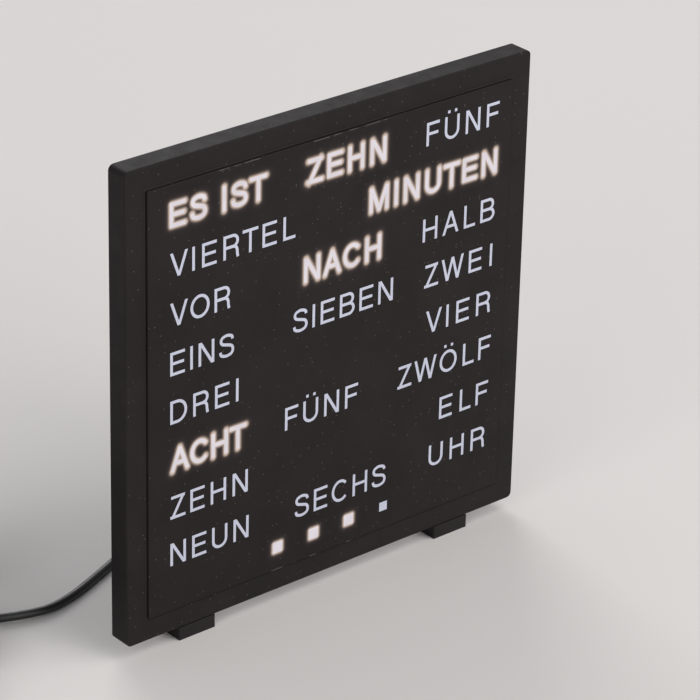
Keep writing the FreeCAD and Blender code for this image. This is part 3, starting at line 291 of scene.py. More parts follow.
print("colour drifts over", DRIFT_MM, "mm, roughness over", PATCH_MM, "mm")

# %% [markdown]
# Black faces show every grain of dust. The specks are a cell pattern: only the very middle of a cell is
# tinted, and only in some of the cells, so they lie scattered and few. They are part of the face's finish,
# fixed to the face itself, and so they stay put from every side.

# %% A helper for fine dust
DUST = (0.085, 0.068, 0.056)
DUST_CELL_MM = 1.9
SPECK = 0.12


def dusted(material, amount):
    """Scattered specks over a material's colour."""
    tree = material.node_tree
    shader = tree.nodes["Principled BSDF"]
    under = shader.inputs["Base Color"].links[0].from_socket
    coordinates = tree.nodes.new("ShaderNodeTexCoord")
    cells = tree.nodes.new("ShaderNodeTexVoronoi")
    cells.inputs["Scale"].default_value = 1 / (DUST_CELL_MM * MM)
    tree.links.new(coordinates.outputs["Object"], cells.inputs["Vector"])
    near = tree.nodes.new("ShaderNodeMath")
    near.operation = "LESS_THAN"
    near.inputs[1].default_value = SPECK
    tree.links.new(cells.outputs["Distance"], near.inputs[0])
    pick = tree.nodes.new("ShaderNodeSeparateColor")
    tree.links.new(cells.outputs["Color"], pick.inputs["Color"])
    some = tree.nodes.new("ShaderNodeMath")
    some.operation = "LESS_THAN"
    some.inputs[1].default_value = amount
    tree.links.new(pick.outputs["Red"], some.inputs[0])
    both = tree.nodes.new("ShaderNodeMath")
    both.operation = "MULTIPLY"
    tree.links.new(near.outputs[0], both.inputs[0])
    tree.links.new(some.outputs[0], both.inputs[1])
    mix = tree.nodes.new("ShaderNodeMix")
    mix.data_type = "RGBA"
    tree.links.new(both.outputs[0], mix.inputs["Factor"])
    tree.links.new(under, mix.inputs["A"])
    mix.inputs["B"].default_value = (*DUST, 1)
    tree.links.new(mix.outputs["Result"], shader.inputs["Base Color"])


print("a speck of dust is about", round(2 * SPECK * DUST_CELL_MM, 2), "mm across")

# %% [markdown]
# The blacks differ little in colour and more in gloss and grain. The frame and the plate face the room, so
# they get the dust and very little shine. The housing has the coarse grain of a plain moulding, the buttons
# are polished by fingers, and the lead has the soft skin of vinyl.

# %% Make the blacks
frame_black = moulded("frame_black", (0.0155, 0.0125, 0.0127), 0.6, 0.35, 0.03, level=0.15)
dusted(frame_black, 0.4)
plate_black = moulded("plate_black", (0.0145, 0.0112, 0.0114), 0.55, 0.3, 0.02, level=0.15)
dusted(plate_black, 0.5)
housing_black = moulded("housing_black", (0.024, 0.024, 0.025), 0.6, 0.5, 0.06)
foot_black = moulded("foot_black", (0.015, 0.0125, 0.0128), 0.6, 0.4, 0.04, level=0.2)
button_black = moulded("button_black", (0.016, 0.016, 0.017), 0.38, 0.6, 0.01)
cord_black = moulded("cord_black", (0.014, 0.014, 0.015), 0.42, 1.2, 0.02)
print("blacks made:", [m.name for m in (frame_black, plate_black, housing_black, foot_black)])

# %% [markdown]
# Few of the inner pieces can be seen, but a lesson that opens the clock later needs them finished too: white
# film and grid, green boards, cream diodes, and five metals that differ in tint and polish. All of them come
# from the same helper as the plastics, with other numbers.

# %% Finishes for what is inside and for metal
film_white = moulded("film_white", (0.82, 0.83, 0.84), 0.45, 1.5, 0.01, 0.03)
grid_white = moulded("grid_white", (0.78, 0.78, 0.76), 0.6, 0.8, 0.03, 0.04)
board_green = moulded("board_green", (0.02, 0.12, 0.05), 0.3, 0.7, 0.02, 0.3)
led_white = moulded("led_white", (0.85, 0.80, 0.55), 0.35, 0.8, 0.01, 0.08)
chip_black = moulded("chip_black", (0.02, 0.02, 0.021), 0.55, 0.25, 0.03)
can_metal = moulded("can_metal", (0.62, 0.62, 0.64), 0.3, 1.0, 0.004, 0.05, 1.0)
screw_steel = moulded("screw_steel", (0.36, 0.36, 0.37), 0.34, 0.6, 0.01, 0.1, 1.0)
contact_metal = moulded("contact_metal", (0.66, 0.58, 0.40), 0.3, 0.8, 0.004, 0.08, 1.0)
cell_steel = moulded("cell_steel", (0.56, 0.56, 0.57), 0.28, 0.9, 0.004, 0.05, 1.0)
pin_nickel = moulded("pin_nickel", (0.68, 0.66, 0.62), 0.2, 1.2, 0.002, 0.04, 1.0)
materials = {
    m.name.removesuffix("_finish"): m
    for m in (
        frame_black,
        plate_black,
        housing_black,
        foot_black,
        button_black,
        cord_black,
        film_white,
        grid_white,
        board_green,
        led_white,
        chip_black,
        can_metal,
        screw_steel,
        contact_metal,
        cell_steel,
        pin_nickel,
    )
}
print("finishes made", len(materials))

# %% [markdown]
# The frame's record names a finish for every moulded piece. A loop over the record dresses them all, so that
# no piece is forgotten. The lead is dressed by hand, since it is new here and not in the record.

# %% Dress every piece of the frame
def dress(piece, material):
    """Give the whole piece one material."""
    piece.data.materials.clear()
    piece.data.materials.append(material)


for entry in frame["record"]["subparts"]:
    dress(nodes[entry["node"]], materials[entry["material_slot"]])
dress(lead, cord_black)

# %% [markdown]
# Some pieces are still to come that the frame doesn't have, such as the words. All of them are built as loose
# points and faces, so one helper does the rest for each: it makes an object of the mesh, gives it its finish
# and lets it move with the clock.

# %% A helper for new pieces
def new_piece(name, mesh, material):
    """A piece of the clock made from a finished bmesh."""
    data = bpy.data.meshes.new(name)
    mesh.to_mesh(data)
    mesh.free()
    piece = shown(name, data)
    dress(piece, material)
    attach(piece, "clock")
    return piece


print("finishes that a new piece can wear:", ", ".join(materials))

# %% [markdown]
# Between the plate and the frame there is a fine gap all round. On such clocks a thin black bead of sealant
# closes it, so that neither light nor dust gets through, and only a faint line is left to see. The bead is
# a square loop with a small rounded section, and its front lies just below the frame's front.

# %% Close the groove with a bead
PANE_HALF = 74.4
GROOVE, GROOVE_PLAY = 0.6, 0.01
BEAD_BELOW, BEAD_RISE, BEAD_DEEP = 0.03, 0.07, 1.2
BEAD_ARC = 6

bead_half = GROOVE / 2 - GROOVE_PLAY
bead_middle = PANE_HALF + GROOVE / 2
section = [(-bead_half, BEAD_DEEP)]
for k in range(BEAD_ARC + 1):
    turned = math.pi * (1 - k / BEAD_ARC)
    section.append((bead_half * math.cos(turned), BEAD_BELOW + BEAD_RISE * (1 - math.sin(turned))))
section.append((bead_half, BEAD_DEEP))


def join_loops(mesh, lower, upper):
    """Faces between two closed loops with as many corners."""
    for k in range(len(lower)):
        j = (k + 1) % len(lower)
        mesh.faces.new((lower[k], lower[j], upper[j], upper[k]))


bead_mesh = bmesh.new()
loops = []
for across, deep in section:
    reach = (bead_middle + across) * MM
    corners = ((-reach, -reach), (reach, -reach), (reach, reach), (-reach, reach))
    front = frame_low.y + deep * MM
    loops.append([bead_mesh.verts.new((face_middle.x + x, front, face_middle.z + z)) for x, z in corners])
for inner, outer in zip(loops, loops[1:] + loops[:1]):
    join_loops(bead_mesh, inner, outer)
bmesh.ops.recalc_face_normals(bead_mesh, faces=bead_mesh.faces)
bead_black = moulded("bead_black", (0.016, 0.0135, 0.0138), 0.5, 0.8, 0.01, level=0.3)
new_piece("groove_bead", bead_mesh, bead_black)
print("bead front below the frame's front in mm", BEAD_BELOW)

# %% [markdown]
# The words are plain letters of one even stroke with square ends. Rather than a font, each letter is drawn
# as a few strokes along its middle line, because the lit words show the same letters with a wider stroke:
# one drawing then serves both. Sizes are in millimetres on the face, for a letter 8.1 mm high. Each letter is
# a row in one table: its width, the room it needs on its left and right, its strokes, and the slanted strokes
# that are cut level at the foot and head. The letters that have only straight strokes come first.

# %% Draw the straight letters as middle lines
CAP = 8.1
HALF = 0.5
TOP, MID, LOW = CAP - HALF, CAP / 2 + 0.1, HALF
STEM, ROUND, OPEN = 1.25, 0.85, 0.3
LETTERS = {
    "A": (
        7.0,
        OPEN,
        OPEN,
        [[(1.75, 2.75), (5.25, 2.75)]],
        [[(0.55, 0), (3.5, CAP)], [(6.45, 0), (3.5, CAP)]],
    ),
    "E": (5.7, STEM, 1.1, [[(5.7, TOP), (HALF, TOP), (HALF, LOW), (5.7, LOW)], [(1, MID), (5.35, MID)]], []),
    "F": (5.4, STEM, 0.8, [[(5.4, TOP), (HALF, TOP), (HALF, 0)], [(1, MID), (4.9, MID)]], []),
    "H": (6.2, STEM, STEM, [[(HALF, 0), (HALF, CAP)], [(5.7, 0), (5.7, CAP)], [(1, MID), (5.2, MID)]], []),
    "I": (1.0, STEM, STEM, [[(HALF, 0), (HALF, CAP)]], []),
    "L": (4.9, STEM, OPEN, [[(HALF, CAP), (HALF, LOW), (4.9, LOW)]], []),
    "M": (
        7.6,
        STEM,
        STEM,
        [[(HALF, 0), (HALF, CAP)], [(7.1, 0), (7.1, CAP)]],
        [[(0.7, CAP), (3.8, 0.2)], [(6.9, CAP), (3.8, 0.2)]],
    ),
    "N": (6.2, STEM, STEM, [[(HALF, 0), (HALF, CAP)], [(5.7, 0), (5.7, CAP)]], [[(0.65, CAP), (5.55, 0)]]),
    "T": (6.2, OPEN, OPEN, [[(0, TOP), (6.2, TOP)], [(3.1, 0), (3.1, TOP - HALF)]], []),
    "V": (6.8, OPEN, OPEN, [], [[(0.5, CAP), (3.4, 0)], [(6.3, CAP), (3.4, 0)]]),
    "W": (
        9.6,
        OPEN,
        OPEN,
        [],
        [[(0.5, CAP), (2.6, 0)], [(4.8, CAP), (2.6, 0)], [(4.8, CAP), (7.0, 0)], [(9.1, CAP), (7.0, 0)]],
    ),
    "Z": (6.0, 0.6, 0.6, [[(0.3, TOP), (5.7, TOP)], [(0, LOW), (6.0, LOW)]], [[(5.35, CAP), (0.65, 0)]]),
    " ": (4.0, 0, 0, [], []),
}
print("straight letters drawn", len(LETTERS), "with the space between words")

# %% [markdown]
# Round letters need two helpers. A bow is part of an oval, which is the right shape for most of them. The
# others have a line that swings both ways, so that is eased through a few chosen points.

# %% Curves for round letters
def bow(x, z, across, rise, start, end, count=10):
    """Points along part of an oval, angles in degrees."""
    angles = [math.radians(start + (end - start) * k / count) for k in range(count + 1)]
    return [(x + across * math.cos(a), z + rise * math.sin(a)) for a in angles]


def eased(points, per_span=5):
    """A smooth line through a few chosen points."""
    ends = [points[0], *points, points[-1]]
    line = []
    for a, b, c, d in zip(ends, ends[1:], ends[2:], ends[3:]):
        for k in range(per_span):
            t = k / per_span
            line.append(
                tuple(
                    0.5
                    * (
                        2 * b[i]
                        + (c[i] - a[i]) * t
                        + (2 * a[i] - 5 * b[i] + 4 * c[i] - d[i]) * t * t
                        + (3 * b[i] - a[i] - 3 * c[i] + d[i]) * t**3
                    )
                    for i in (0, 1)
                )
            )
    return [*line, points[-1]]


def letter_u(width):
    """The middle line of a U."""
    middle, reach = width / 2, width / 2 - HALF
    return [(HALF, CAP), *bow(middle, 2.95, reach, 2.45, 180, 360), (width - HALF, CAP)]


def letter_o(width):
    """The middle line of an O, closed."""
    return bow(width / 2, CAP / 2, width / 2 - HALF, CAP / 2 - HALF, 0, 360, 32)


print("an O has", len(letter_o(CAP)), "points")

# %% [markdown]
# With these the round letters join the table. Straight stems need the most room between them and open shapes
# the least, and that makes a word look evenly set. The two dots of an umlaut stand above the letter.

# %% Draw the round letters
S_UPPER = ((5.35, 5.95), (4.9, 7.05), (3.0, 7.6), (1.2, 7.05), (0.75, 5.95), (1.3, 4.95), (3.0, 4.35))
S_LOWER = ((4.85, 3.7), (5.5, 2.4), (4.95, 1.05), (3.0, 0.5), (1.0, 1.05), (0.5, 2.3))
LETTERS |= {
    "B": (
        6.2,
        STEM,
        ROUND,
        [
            [(HALF, 0), (HALF, CAP)],
            [(1, TOP), *bow(3.75, TOP - 1.7, 1.6, 1.7, 90, -90), (1, TOP - 3.4)],
            [(3.75, TOP - 3.4), *bow(3.85, LOW + 1.85, 1.85, 1.85, 90, -90), (1, LOW)],
        ],
        [],
    ),
    "C": (6.9, ROUND, ROUND, [bow(3.6, CAP / 2, 3.1, CAP / 2 - HALF, 42, 318, 24)], []),
    "D": (
        6.6,
        STEM,
        ROUND,
        [
            [(HALF, 0), (HALF, CAP)],
            [(1, TOP), (2.6, TOP), *bow(2.75, CAP / 2, 3.35, 3.55, 85, -85, 16), (2.6, LOW), (1, LOW)],
        ],
        [],
    ),
    "O": (7.5, ROUND, ROUND, [letter_o(7.5)], []),
    "R": (
        6.2,
        STEM,
        0.9,
        [
            [(HALF, 0), (HALF, CAP)],
            [(1, TOP), *bow(3.8, TOP - 1.85, 1.8, 1.85, 90, -90), (1, TOP - 3.7)],
            eased([(3.9, TOP - 3.7), (4.9, 3.55), (5.4, 2.6), (5.5, 1.3), (5.75, 0)]),
        ],
        [],
    ),
    "S": (6.0, ROUND, ROUND, [eased([*S_UPPER, *S_LOWER])], []),
    "U": (6.2, STEM, STEM, [letter_u(6.2)], []),
}
DOTS_ABOVE, DOTS_APART = 1.6, 1.45
print("letters drawn", len(LETTERS))

# %% [markdown]
# A stroke becomes a flat ribbon: each middle line gets an edge on both sides, with mitred corners. Slanted
# strokes run a little past the letter and are cut level with its head and foot, as in printed type. A limit
# on the mitre keeps a very sharp corner from growing a spike.

# %% Turn middle lines into ribbons
MITRE_LIMIT = 0.3


def ribbon(points, width, closed=False, stretch=0.0):
    """The two edges of a stroke, with mitred corners."""
    line = [Vector(p) for p in points]
    if closed:
        line = line[:-1]
    else:
        line[0] = line[0] + (line[0] - line[1]).normalized() * stretch
        line[-1] = line[-1] + (line[-1] - line[-2]).normalized() * stretch
    count = len(line)
    left, right_side = [], []
    for k, here in enumerate(line):
        before = line[k - 1] if closed or k else None
        after = line[(k + 1) % count] if closed or k < count - 1 else None
        steps_here = ((here - before) if before else None, (after - here) if after else None)
        ways = [w.normalized() for w in steps_here if w]
        way = sum(ways, Vector((0, 0))).normalized()
        side = Vector((-way.y, way.x))
        reach = width / 2 / max(MITRE_LIMIT, side.dot(Vector((-ways[0].y, ways[0].x))))
        left.append(here + side * reach)
        right_side.append(here - side * reach)
    return left, right_side


def cut_level(ring, low, high):
    """A ring of points cut off below and above two heights."""
    for limit, keep_above in ((low, True), (high, False)):
        kept = []
        for a, b in zip(ring, ring[1:] + ring[:1]):
            a_in = (a.y >= limit) == keep_above
            b_in = (b.y >= limit) == keep_above
            if a_in:
                kept.append(a)
            if a_in != b_in:
                kept.append(a.lerp(b, (limit - a.y) / (b.y - a.y)))
        ring = kept
    return ring


print("edges of a short stroke:", ribbon([(0, 0), (0, 1)], 2 * HALF))

# %% [markdown]
# A letter is now a heap of overlapping shapes: one four-cornered patch for each bit of stroke, and two small
# squares for the dots of an umlaut. A word is a row of letters between two given ends, and the room between
# them is stretched evenly until the word fills its place.

# %% Shape letters and set words
SLANT_PAST = 2.0


def bare(letter):
    """A letter without its umlaut."""
    return {"Ü": "U", "Ö": "O"}.get(letter, letter)


def square(x, z, half, closed=False):
    """The corners of a square about a point."""
    corners = [Vector((x + a * half, z + b * half)) for a, b in ((-1, -1), (1, -1), (1, 1), (-1, 1))]
    return [*corners, corners[0]] if closed else corners


def letter_shapes(letter, stroke):
    """The letter's flat shapes as rings of points, and its middle lines."""
    plain = bare(letter)
    width, _, _, strokes, slants = LETTERS[plain]
    extra = (stroke - 2 * HALF) / 2
    rings = []
    for points in strokes:
        closed = (Vector(points[0]) - Vector(points[-1])).length < 1e-6
        left, right_side = ribbon(points, stroke, closed, extra)
        pairs = len(left) if closed else len(left) - 1
        for k in range(pairs):
            j = (k + 1) % len(left)
            rings.append([left[k], left[j], right_side[j], right_side[k]])
    for points in slants:
        left, right_side = ribbon(points, stroke, stretch=SLANT_PAST)
        rings.append(cut_level([left[0], left[1], right_side[1], right_side[0]], -extra, CAP + extra))
    lines = [*strokes, *slants]
    if plain != letter:
        for side in (-1, 1):
            rings.append(square(width / 2 + side * DOTS_APART, CAP + DOTS_ABOVE, stroke / 2))
    return rings, lines


def set_word(text, left_end, right_end):
    """Where each letter of a word starts, so that the word fills its place."""
    plain = [bare(c) for c in text]
    widths = [LETTERS[c][0] for c in plain]
    gaps = [LETTERS[a][2] + LETTERS[b][1] for a, b in zip(plain, plain[1:])]
    scale = (right_end - left_end - sum(widths)) / max(sum(gaps), 0.01)
    starts, x = [], left_end
    for k, width in enumerate(widths):
        starts.append(x)
        x += width + (gaps[k] * scale if k < len(gaps) else 0)
    return starts


print("an A is made of", len(letter_shapes("A", 2 * HALF)[0]), "shapes")

# %% [markdown]
# Eight lines of words fill the face, set flush left, about the middle or flush right, with four small
# squares below that count single minutes. Here the lit words say ten minutes past eight, and three lit
# squares add three minutes. Every place is in millimetres from the middle of the face.

# %% List the words and where they stand
FIRST_LINE, LINE_PITCH = 60.25, 16.88
LINES = (
    (("ES IST", -65.8, -28.4, True), ("ZEHN", -11.8, 20.3, True), ("FÜNF", 37.4, 68.6, False)),
    (("VIERTEL", -65.8, -16.4, False), ("MINUTEN", 14.2, 68.3, True)),
    (("VOR", -65.8, -42.3, False), ("NACH", -12.4, 19.1, True), ("HALB", 37.1, 68.3, False)),
    (("EINS", -65.8, -40.6, False), ("SIEBEN", -16.8, 24.9, False), ("ZWEI", 38.4, 68.0, False)),
    (("DREI", -65.8, -38.7, False), ("VIER", 39.7, 68.0, False)),
    (("ACHT", -65.5, -35.7, True), ("FÜNF", -19.5, 11.0, False), ("ZWÖLF", 28.1, 69.0, False)),
    (("ZEHN", -65.8, -34.6, False), ("ELF", 46.9, 68.6, False)),
    (("NEUN", -65.8, -34.1, False), ("SECHS", -14.9, 24.0, False), ("UHR", 42.9, 67.9, False)),
)
MINUTE_LINE, MINUTE_SIDE, LIT_MINUTE_SIDE = -66.0, 3.3, 3.9
MINUTES = ((-21.9, True), (-6.75, True), (8.25, True), (23.25, False))
STROKE, LIT_STROKE = 1.0, 1.35
INK = 0.05
GLOW_LIFT = 0.02
print("words", sum(len(line) for line in LINES), "lit", sum(word[3] for line in LINES for word in line))

# %% [markdown]
# Unlit words are pale grey with a breath of blue, like frosted windows with no light behind them. Lit words
# glow by themselves: the shader emits light, a little under pure white, so that they stay soft in the
# render and keep the faint violet of a cold white diode.

# %% Two finishes for the words
words_off = moulded("words_off", (0.54, 0.56, 0.67), 0.5, 1.5, 0.005, 0.03)
words_lit, lit_shader, lit_nodes, lit_link = blank_material("words_lit")
lit_noise = noise_at(lit_nodes, lit_link, 6, 2)
lit_colour = ramp(lit_nodes, lit_link, lit_noise.outputs["Fac"], (0.72, 0.67, 0.72), (0.80, 0.75, 0.80))
lit_link(lit_colour.outputs["Color"], lit_shader.inputs["Emission Color"])
lit_shader.inputs["Emission Strength"].default_value = 0.9
lit_shader.inputs["Base Color"].default_value = (0.02, 0.02, 0.02, 1)
lit_shader.inputs["Roughness"].default_value = 0.6
print("finishes for the words:", words_off.name, words_lit.name)

# %% [markdown]
# The overlapping shapes of a word are joined into one flat outline before it gets its thickness. Faces that
# lie on each other would flicker, and a triangulation that covers every spot once avoids that. The word is
# then a real solid, as thin as printed ink, that stands on the plate.

# %% Helpers that make thin solids on the face
SAME_POINT = 1e-4
front_of_plate = plate_low.y


def on_face(x, z, lift):
    """A point on the face, so many millimetres from its middle and in front of the plate."""
    return Vector((face_middle.x + x * MM, front_of_plate - lift * MM, face_middle.z + z * MM))


def joined(rings):
    """One flat sheet of triangles that covers all the rings once."""
    corners, faces = [], []
    for ring in rings:
        area = sum(a.x * b.y - b.x * a.y for a, b in zip(ring, ring[1:] + ring[:1]))
        faces.append(list(range(len(corners), len(corners) + len(ring))))
        corners += ring if area > 0 else ring[::-1]
    points, _, triangles, _, _, covered = geometry.delaunay_2d_cdt(corners, [], faces, 1, SAME_POINT, True)
    return points, [t for t, sources in zip(triangles, covered) if sources]


def thin_solid(name, rings, material, lift):
    """Flat rings joined and raised to one thin plate that stands on the face."""
    points, triangles = joined(rings)
    mesh = bmesh.new()
    fronts = [mesh.verts.new(on_face(p.x, p.y, lift)) for p in points]
    backs = [mesh.verts.new(on_face(p.x, p.y, 0)) for p in points]
    for a, b, c in triangles:
        mesh.faces.new((fronts[a], fronts[b], fronts[c]))
        mesh.faces.new((backs[c], backs[b], backs[a]))
    sides = {(t[k], t[(k + 1) % 3]) for t in triangles for k in range(3)}
    for a, b in sides:
        if (b, a) not in sides:
            mesh.faces.new((fronts[b], fronts[a], backs[a], backs[b]))
    bmesh.ops.delete(mesh, geom=[v for v in mesh.verts if not v.link_faces], context="VERTS")
    return new_piece(name, mesh, material)


def plain_name(text):
    """A word as a name without accents or spaces."""
    return text.lower().replace(" ", "_").replace("ü", "ue").replace("ö", "oe")


print("triangles in a plain square", len(joined([square(0, 0, HALF)])[1]))

# %% [markdown]
# Now the face is filled line by line. Each word is one piece with its own name, so that a lesson can light
# another word by changing its finish. The middle lines of the lit words are kept, since they also say where
# the plate round them glows.

# %% Build the words and the minute squares
lit_lines = []
for row, line in enumerate(LINES):
    foot = FIRST_LINE - row * LINE_PITCH
    for text, left_end, right_end, lit in line:
        rings = []
        for letter, start in zip(text, set_word(text, left_end, right_end)):
            shapes, middles = letter_shapes(letter, LIT_STROKE if lit else STROKE)
            offset = Vector((start, foot))
            rings += [[p + offset for p in ring] for ring in shapes]
            if lit:
                lit_lines += [[Vector(p) + offset for p in points] for points in middles]
        thin_solid(f"word_{row + 1}_{plain_name(text)}", rings, words_lit if lit else words_off, INK)

lit_squares = []
for number, (x, lit) in enumerate(MINUTES, start=1):
    ring = square(x, MINUTE_LINE, (LIT_MINUTE_SIDE if lit else MINUTE_SIDE) / 2)
    thin_solid(f"minute_{number}", [ring], words_lit if lit else words_off, INK)
    if lit:
        lit_squares.append((x, MINUTE_LINE))
print("strokes that glow", len(lit_lines), "squares that glow", len(lit_squares))

# %% [markdown]
# Some light also finds its way along the plate to its rim. It shows as faint broken lines where the plate
# ends above the lit words, and below the lit squares. They are hair-thin strips that glow very weakly.

# %% Faint light at the rim of the plate
RIM_LINE = 74.15
RIM_HALF = 0.16
RIM_TOP = ((-47, -43), (-41, -38.5), (-37, -31), (-9.5, -3), (-1.5, 2), (5, 8.5), (12, 18), (19, 20.5))
RIM_FOOT = ((-24.2, -19.6), (-8.2, -5.4), (7.4, 9.4))
rim_light, rim_shader, rim_nodes, rim_link = blank_material("rim_light")
rim_noise = noise_at(rim_nodes, rim_link, 1.2, 2)
rim_colour = ramp(rim_nodes, rim_link, rim_noise.outputs["Fac"], (0.045, 0.036, 0.032), (0.10, 0.086, 0.078))
rim_link(rim_colour.outputs["Color"], rim_shader.inputs["Emission Color"])
rim_shader.inputs["Emission Strength"].default_value = 0.6
rim_shader.inputs["Base Color"].default_value = (0.012, 0.01, 0.01, 1)
rim_rings = [
    [Vector((x, z + side * RIM_HALF)) for x, side in ((a, -1), (b, -1), (b, 1), (a, 1))]
    for spans, z in ((RIM_TOP, RIM_LINE), (RIM_FOOT, -RIM_LINE))
    for a, b in spans
]
thin_solid("rim_light_lines", rim_rings, rim_light, GLOW_LIFT)
print("faint lines at the rim", len(rim_rings))

# %% [markdown]
# Light leaks a little round each lit letter and warms the black plate. The glow is painted on the plate
# itself: a fine sheet lies on it, each of its points knows how far it is from the nearest lit stroke, and
# that distance becomes a colour that the same black finish gives off as light.

# %% Helpers that measure the glow
GLOW_STEP = 0.3
GLOW_REACH = 4.2
GLOW_FADE = 1.5
GLOW_CORE = 0.62
NEAR_LIGHT, NEAR_REACH, NEAR_TINT = 0.52, 0.6, (1, 0.79, 0.66)
FAR_LIGHT, FAR_REACH, FAR_TINT = 0.085, 0.75, (1, 0.72, 0.58)


def distance_to_lines(points, lines):
    """How far each point is from the nearest of many short lines."""
    best = np.full(len(points), 1e9)
    for line in lines:
        for a, b in zip(line, line[1:]):
            start, way = np.array(a), np.array(b - a)
            along = np.clip((points - start) @ way / max(way @ way, 1e-9), 0, 1)
            best = np.minimum(best, np.linalg.norm(points - start - along[:, None] * way, axis=1))
    return best


def glow_colour(distance):
    """Light that the plate gives off at a distance from the middle of a lit stroke."""
    past = np.maximum(distance - GLOW_CORE, 0)
    near = NEAR_LIGHT * np.exp(-((past / NEAR_REACH) ** 2))
    far = FAR_LIGHT * np.exp(-past / FAR_REACH)
    fade = np.clip((GLOW_REACH - distance) / GLOW_FADE, 0, 1)
    warm = near[:, None] * np.array(NEAR_TINT) + far[:, None] * np.array(FAR_TINT)
    return warm * fade[:, None]


def glow_patch(mesh_points, faces, colours, box, lines):
    """Add one fine patch of the plate with its glow."""
    x0, z0, x1, z1 = box
    across = round((x1 - x0) / GLOW_STEP)
    tall = round((z1 - z0) / GLOW_STEP)
    places = [(x0 + i * GLOW_STEP, z0 + j * GLOW_STEP) for j in range(tall + 1) for i in range(across + 1)]
    grid = np.array(places)
    first = len(mesh_points)
    mesh_points += [on_face(x, z, GLOW_LIFT) for x, z in grid]
    colours.append(glow_colour(distance_to_lines(grid, lines)))
    for j in range(tall):
        for i in range(across):
            a = first + j * (across + 1) + i
            faces.append((a, a + 1, a + across + 2, a + across + 1))


print("the glow ends", GLOW_REACH, "mm from the middle of a stroke")

# %% [markdown]
# The plate needs no fine sheet where nothing glows, so each lit word and each lit square gets a patch of its
# own. A patch looks only at the strokes of its own line of words, which keeps the measuring quick.

# %% Measure the glow round each lit word
LINE_SLACK = 0.1
glow_points, glow_faces, glow_colours = [], [], []
for row, line in enumerate(LINES):
    foot = FIRST_LINE - row * LINE_PITCH
    for text, left_end, right_end, lit in line:
        if lit:
            head = foot + CAP
            box = (left_end - GLOW_REACH, foot - GLOW_REACH, right_end + GLOW_REACH, head + GLOW_REACH)
            near_lines = [p for p in lit_lines if foot - LINE_SLACK <= p[0].y <= head + LINE_SLACK]
            glow_patch(glow_points, glow_faces, glow_colours, box, near_lines)
inset = LIT_MINUTE_SIDE / 2 - GLOW_CORE
reach = LIT_MINUTE_SIDE / 2 + GLOW_REACH
for x, z in lit_squares:
    box = (x - reach, z - reach, x + reach, z + reach)
    glow_patch(glow_points, glow_faces, glow_colours, box, [square(x, z, inset, closed=True)])
print("points in the glow", len(glow_points))

# %% [markdown]
# The measured colours are stored on the sheet's points as a colour attribute. The sheet wears a copy of the
# plate's own black, so that its edge can't be seen, and the copy gives off the stored colour as light.

# %% Lay the glow on the plate
glow_data = bpy.data.meshes.new("plate_glow")
glow_data.from_pydata(glow_points, [], glow_faces)
attribute = glow_data.color_attributes.new("glow", "FLOAT_COLOR", "POINT")
flat = np.concatenate(glow_colours)
attribute.data.foreach_set("color", np.column_stack([flat, np.ones(len(flat))]).ravel())
plate_glow = shown("plate_glow", glow_data)

glow_black = plate_black.copy()
glow_black.name = "plate_black_glowing"
glow_nodes = glow_black.node_tree.nodes
glow_shader = glow_nodes["Principled BSDF"]
reader = glow_nodes.new("ShaderNodeVertexColor")
reader.layer_name = "glow"
glow_black.node_tree.links.new(reader.outputs["Color"], glow_shader.inputs["Emission Color"])
glow_shader.inputs["Emission Strength"].default_value = 1.0
dress(plate_glow, glow_black)
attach(plate_glow, "clock")
print("brightest glow", [round(float(v), 2) for v in flat.max(axis=0)])

# %% [markdown]
# Small turned pieces are all made the same way: a half outline is spun about an axis. The helper takes the
# outline as pairs of radius and height in millimetres, and a direction for the axis. The strain reliefs and
# the pins of the adapter use it.

# %% A helper that turns an outline into a round piece
def circle(radius, height, steps):
    """Points round a circle, first two coordinates across its axis and the third along it."""
    angles = [math.tau * k / steps for k in range(steps)]
    return [(radius * math.cos(a), radius * math.sin(a), height) for a in angles]


SEGMENTS = 40
SHARP_EDGE = math.radians(35)


def lathe(name, profile, place, axis, material):
    """A closed round piece about an axis through a place."""
    toward = Vector((0, 0, 1)).rotation_difference(Vector(axis))
    mesh = bmesh.new()
    rings = []
    for radius, height in profile:
        around = circle(radius, height, SEGMENTS) if radius else [(0, 0, height)]
        rings.append([mesh.verts.new(Vector(p)) for p in around])
    for lower, upper in zip(rings, rings[1:]):
        if len(lower) > 1 and len(upper) > 1:
            join_loops(mesh, lower, upper)
            continue
        for k in range(SEGMENTS):
            j = (k + 1) % SEGMENTS
            if len(lower) == 1:
                mesh.faces.new((lower[0], upper[j], upper[k]))
            else:
                mesh.faces.new((lower[k], lower[j], upper[0]))
    bmesh.ops.recalc_face_normals(mesh, faces=mesh.faces)
    for vertex in mesh.verts:
        vertex.co = Vector(place) + (toward @ vertex.co) * MM
    piece = new_piece(name, mesh, material)
    for face in piece.data.polygons:
        face.use_smooth = True
    bpy.context.view_layer.objects.active = piece
    piece.select_set(True)
    bpy.ops.object.shade_auto_smooth(angle=SHARP_EDGE)
    piece.select_set(False)
    return piece


print("segments round a turned piece", SEGMENTS)

# %% [markdown]
# Where a lead enters its plug or its adapter, a tapered sleeve keeps it from kinking. Real sleeves are cut
# into rings so that they bend. The outline here steps in and out as the sleeve gets thinner, and its ends
# come from the sleeve's solid in the frame.

# %% Ribbed strain reliefs
PLAIN_END = 1.2
SLEEVE_TIP = 1.9
LEAST_CORE, GROOVE_DEEP = 1.62, 0.75
GROOVE_FROM, GROOVE_UNTIL, RIB_FROM, RIB_UNTIL = 0.05, 0.38, 0.42, 0.98
SLEEVE_RIBS = 4


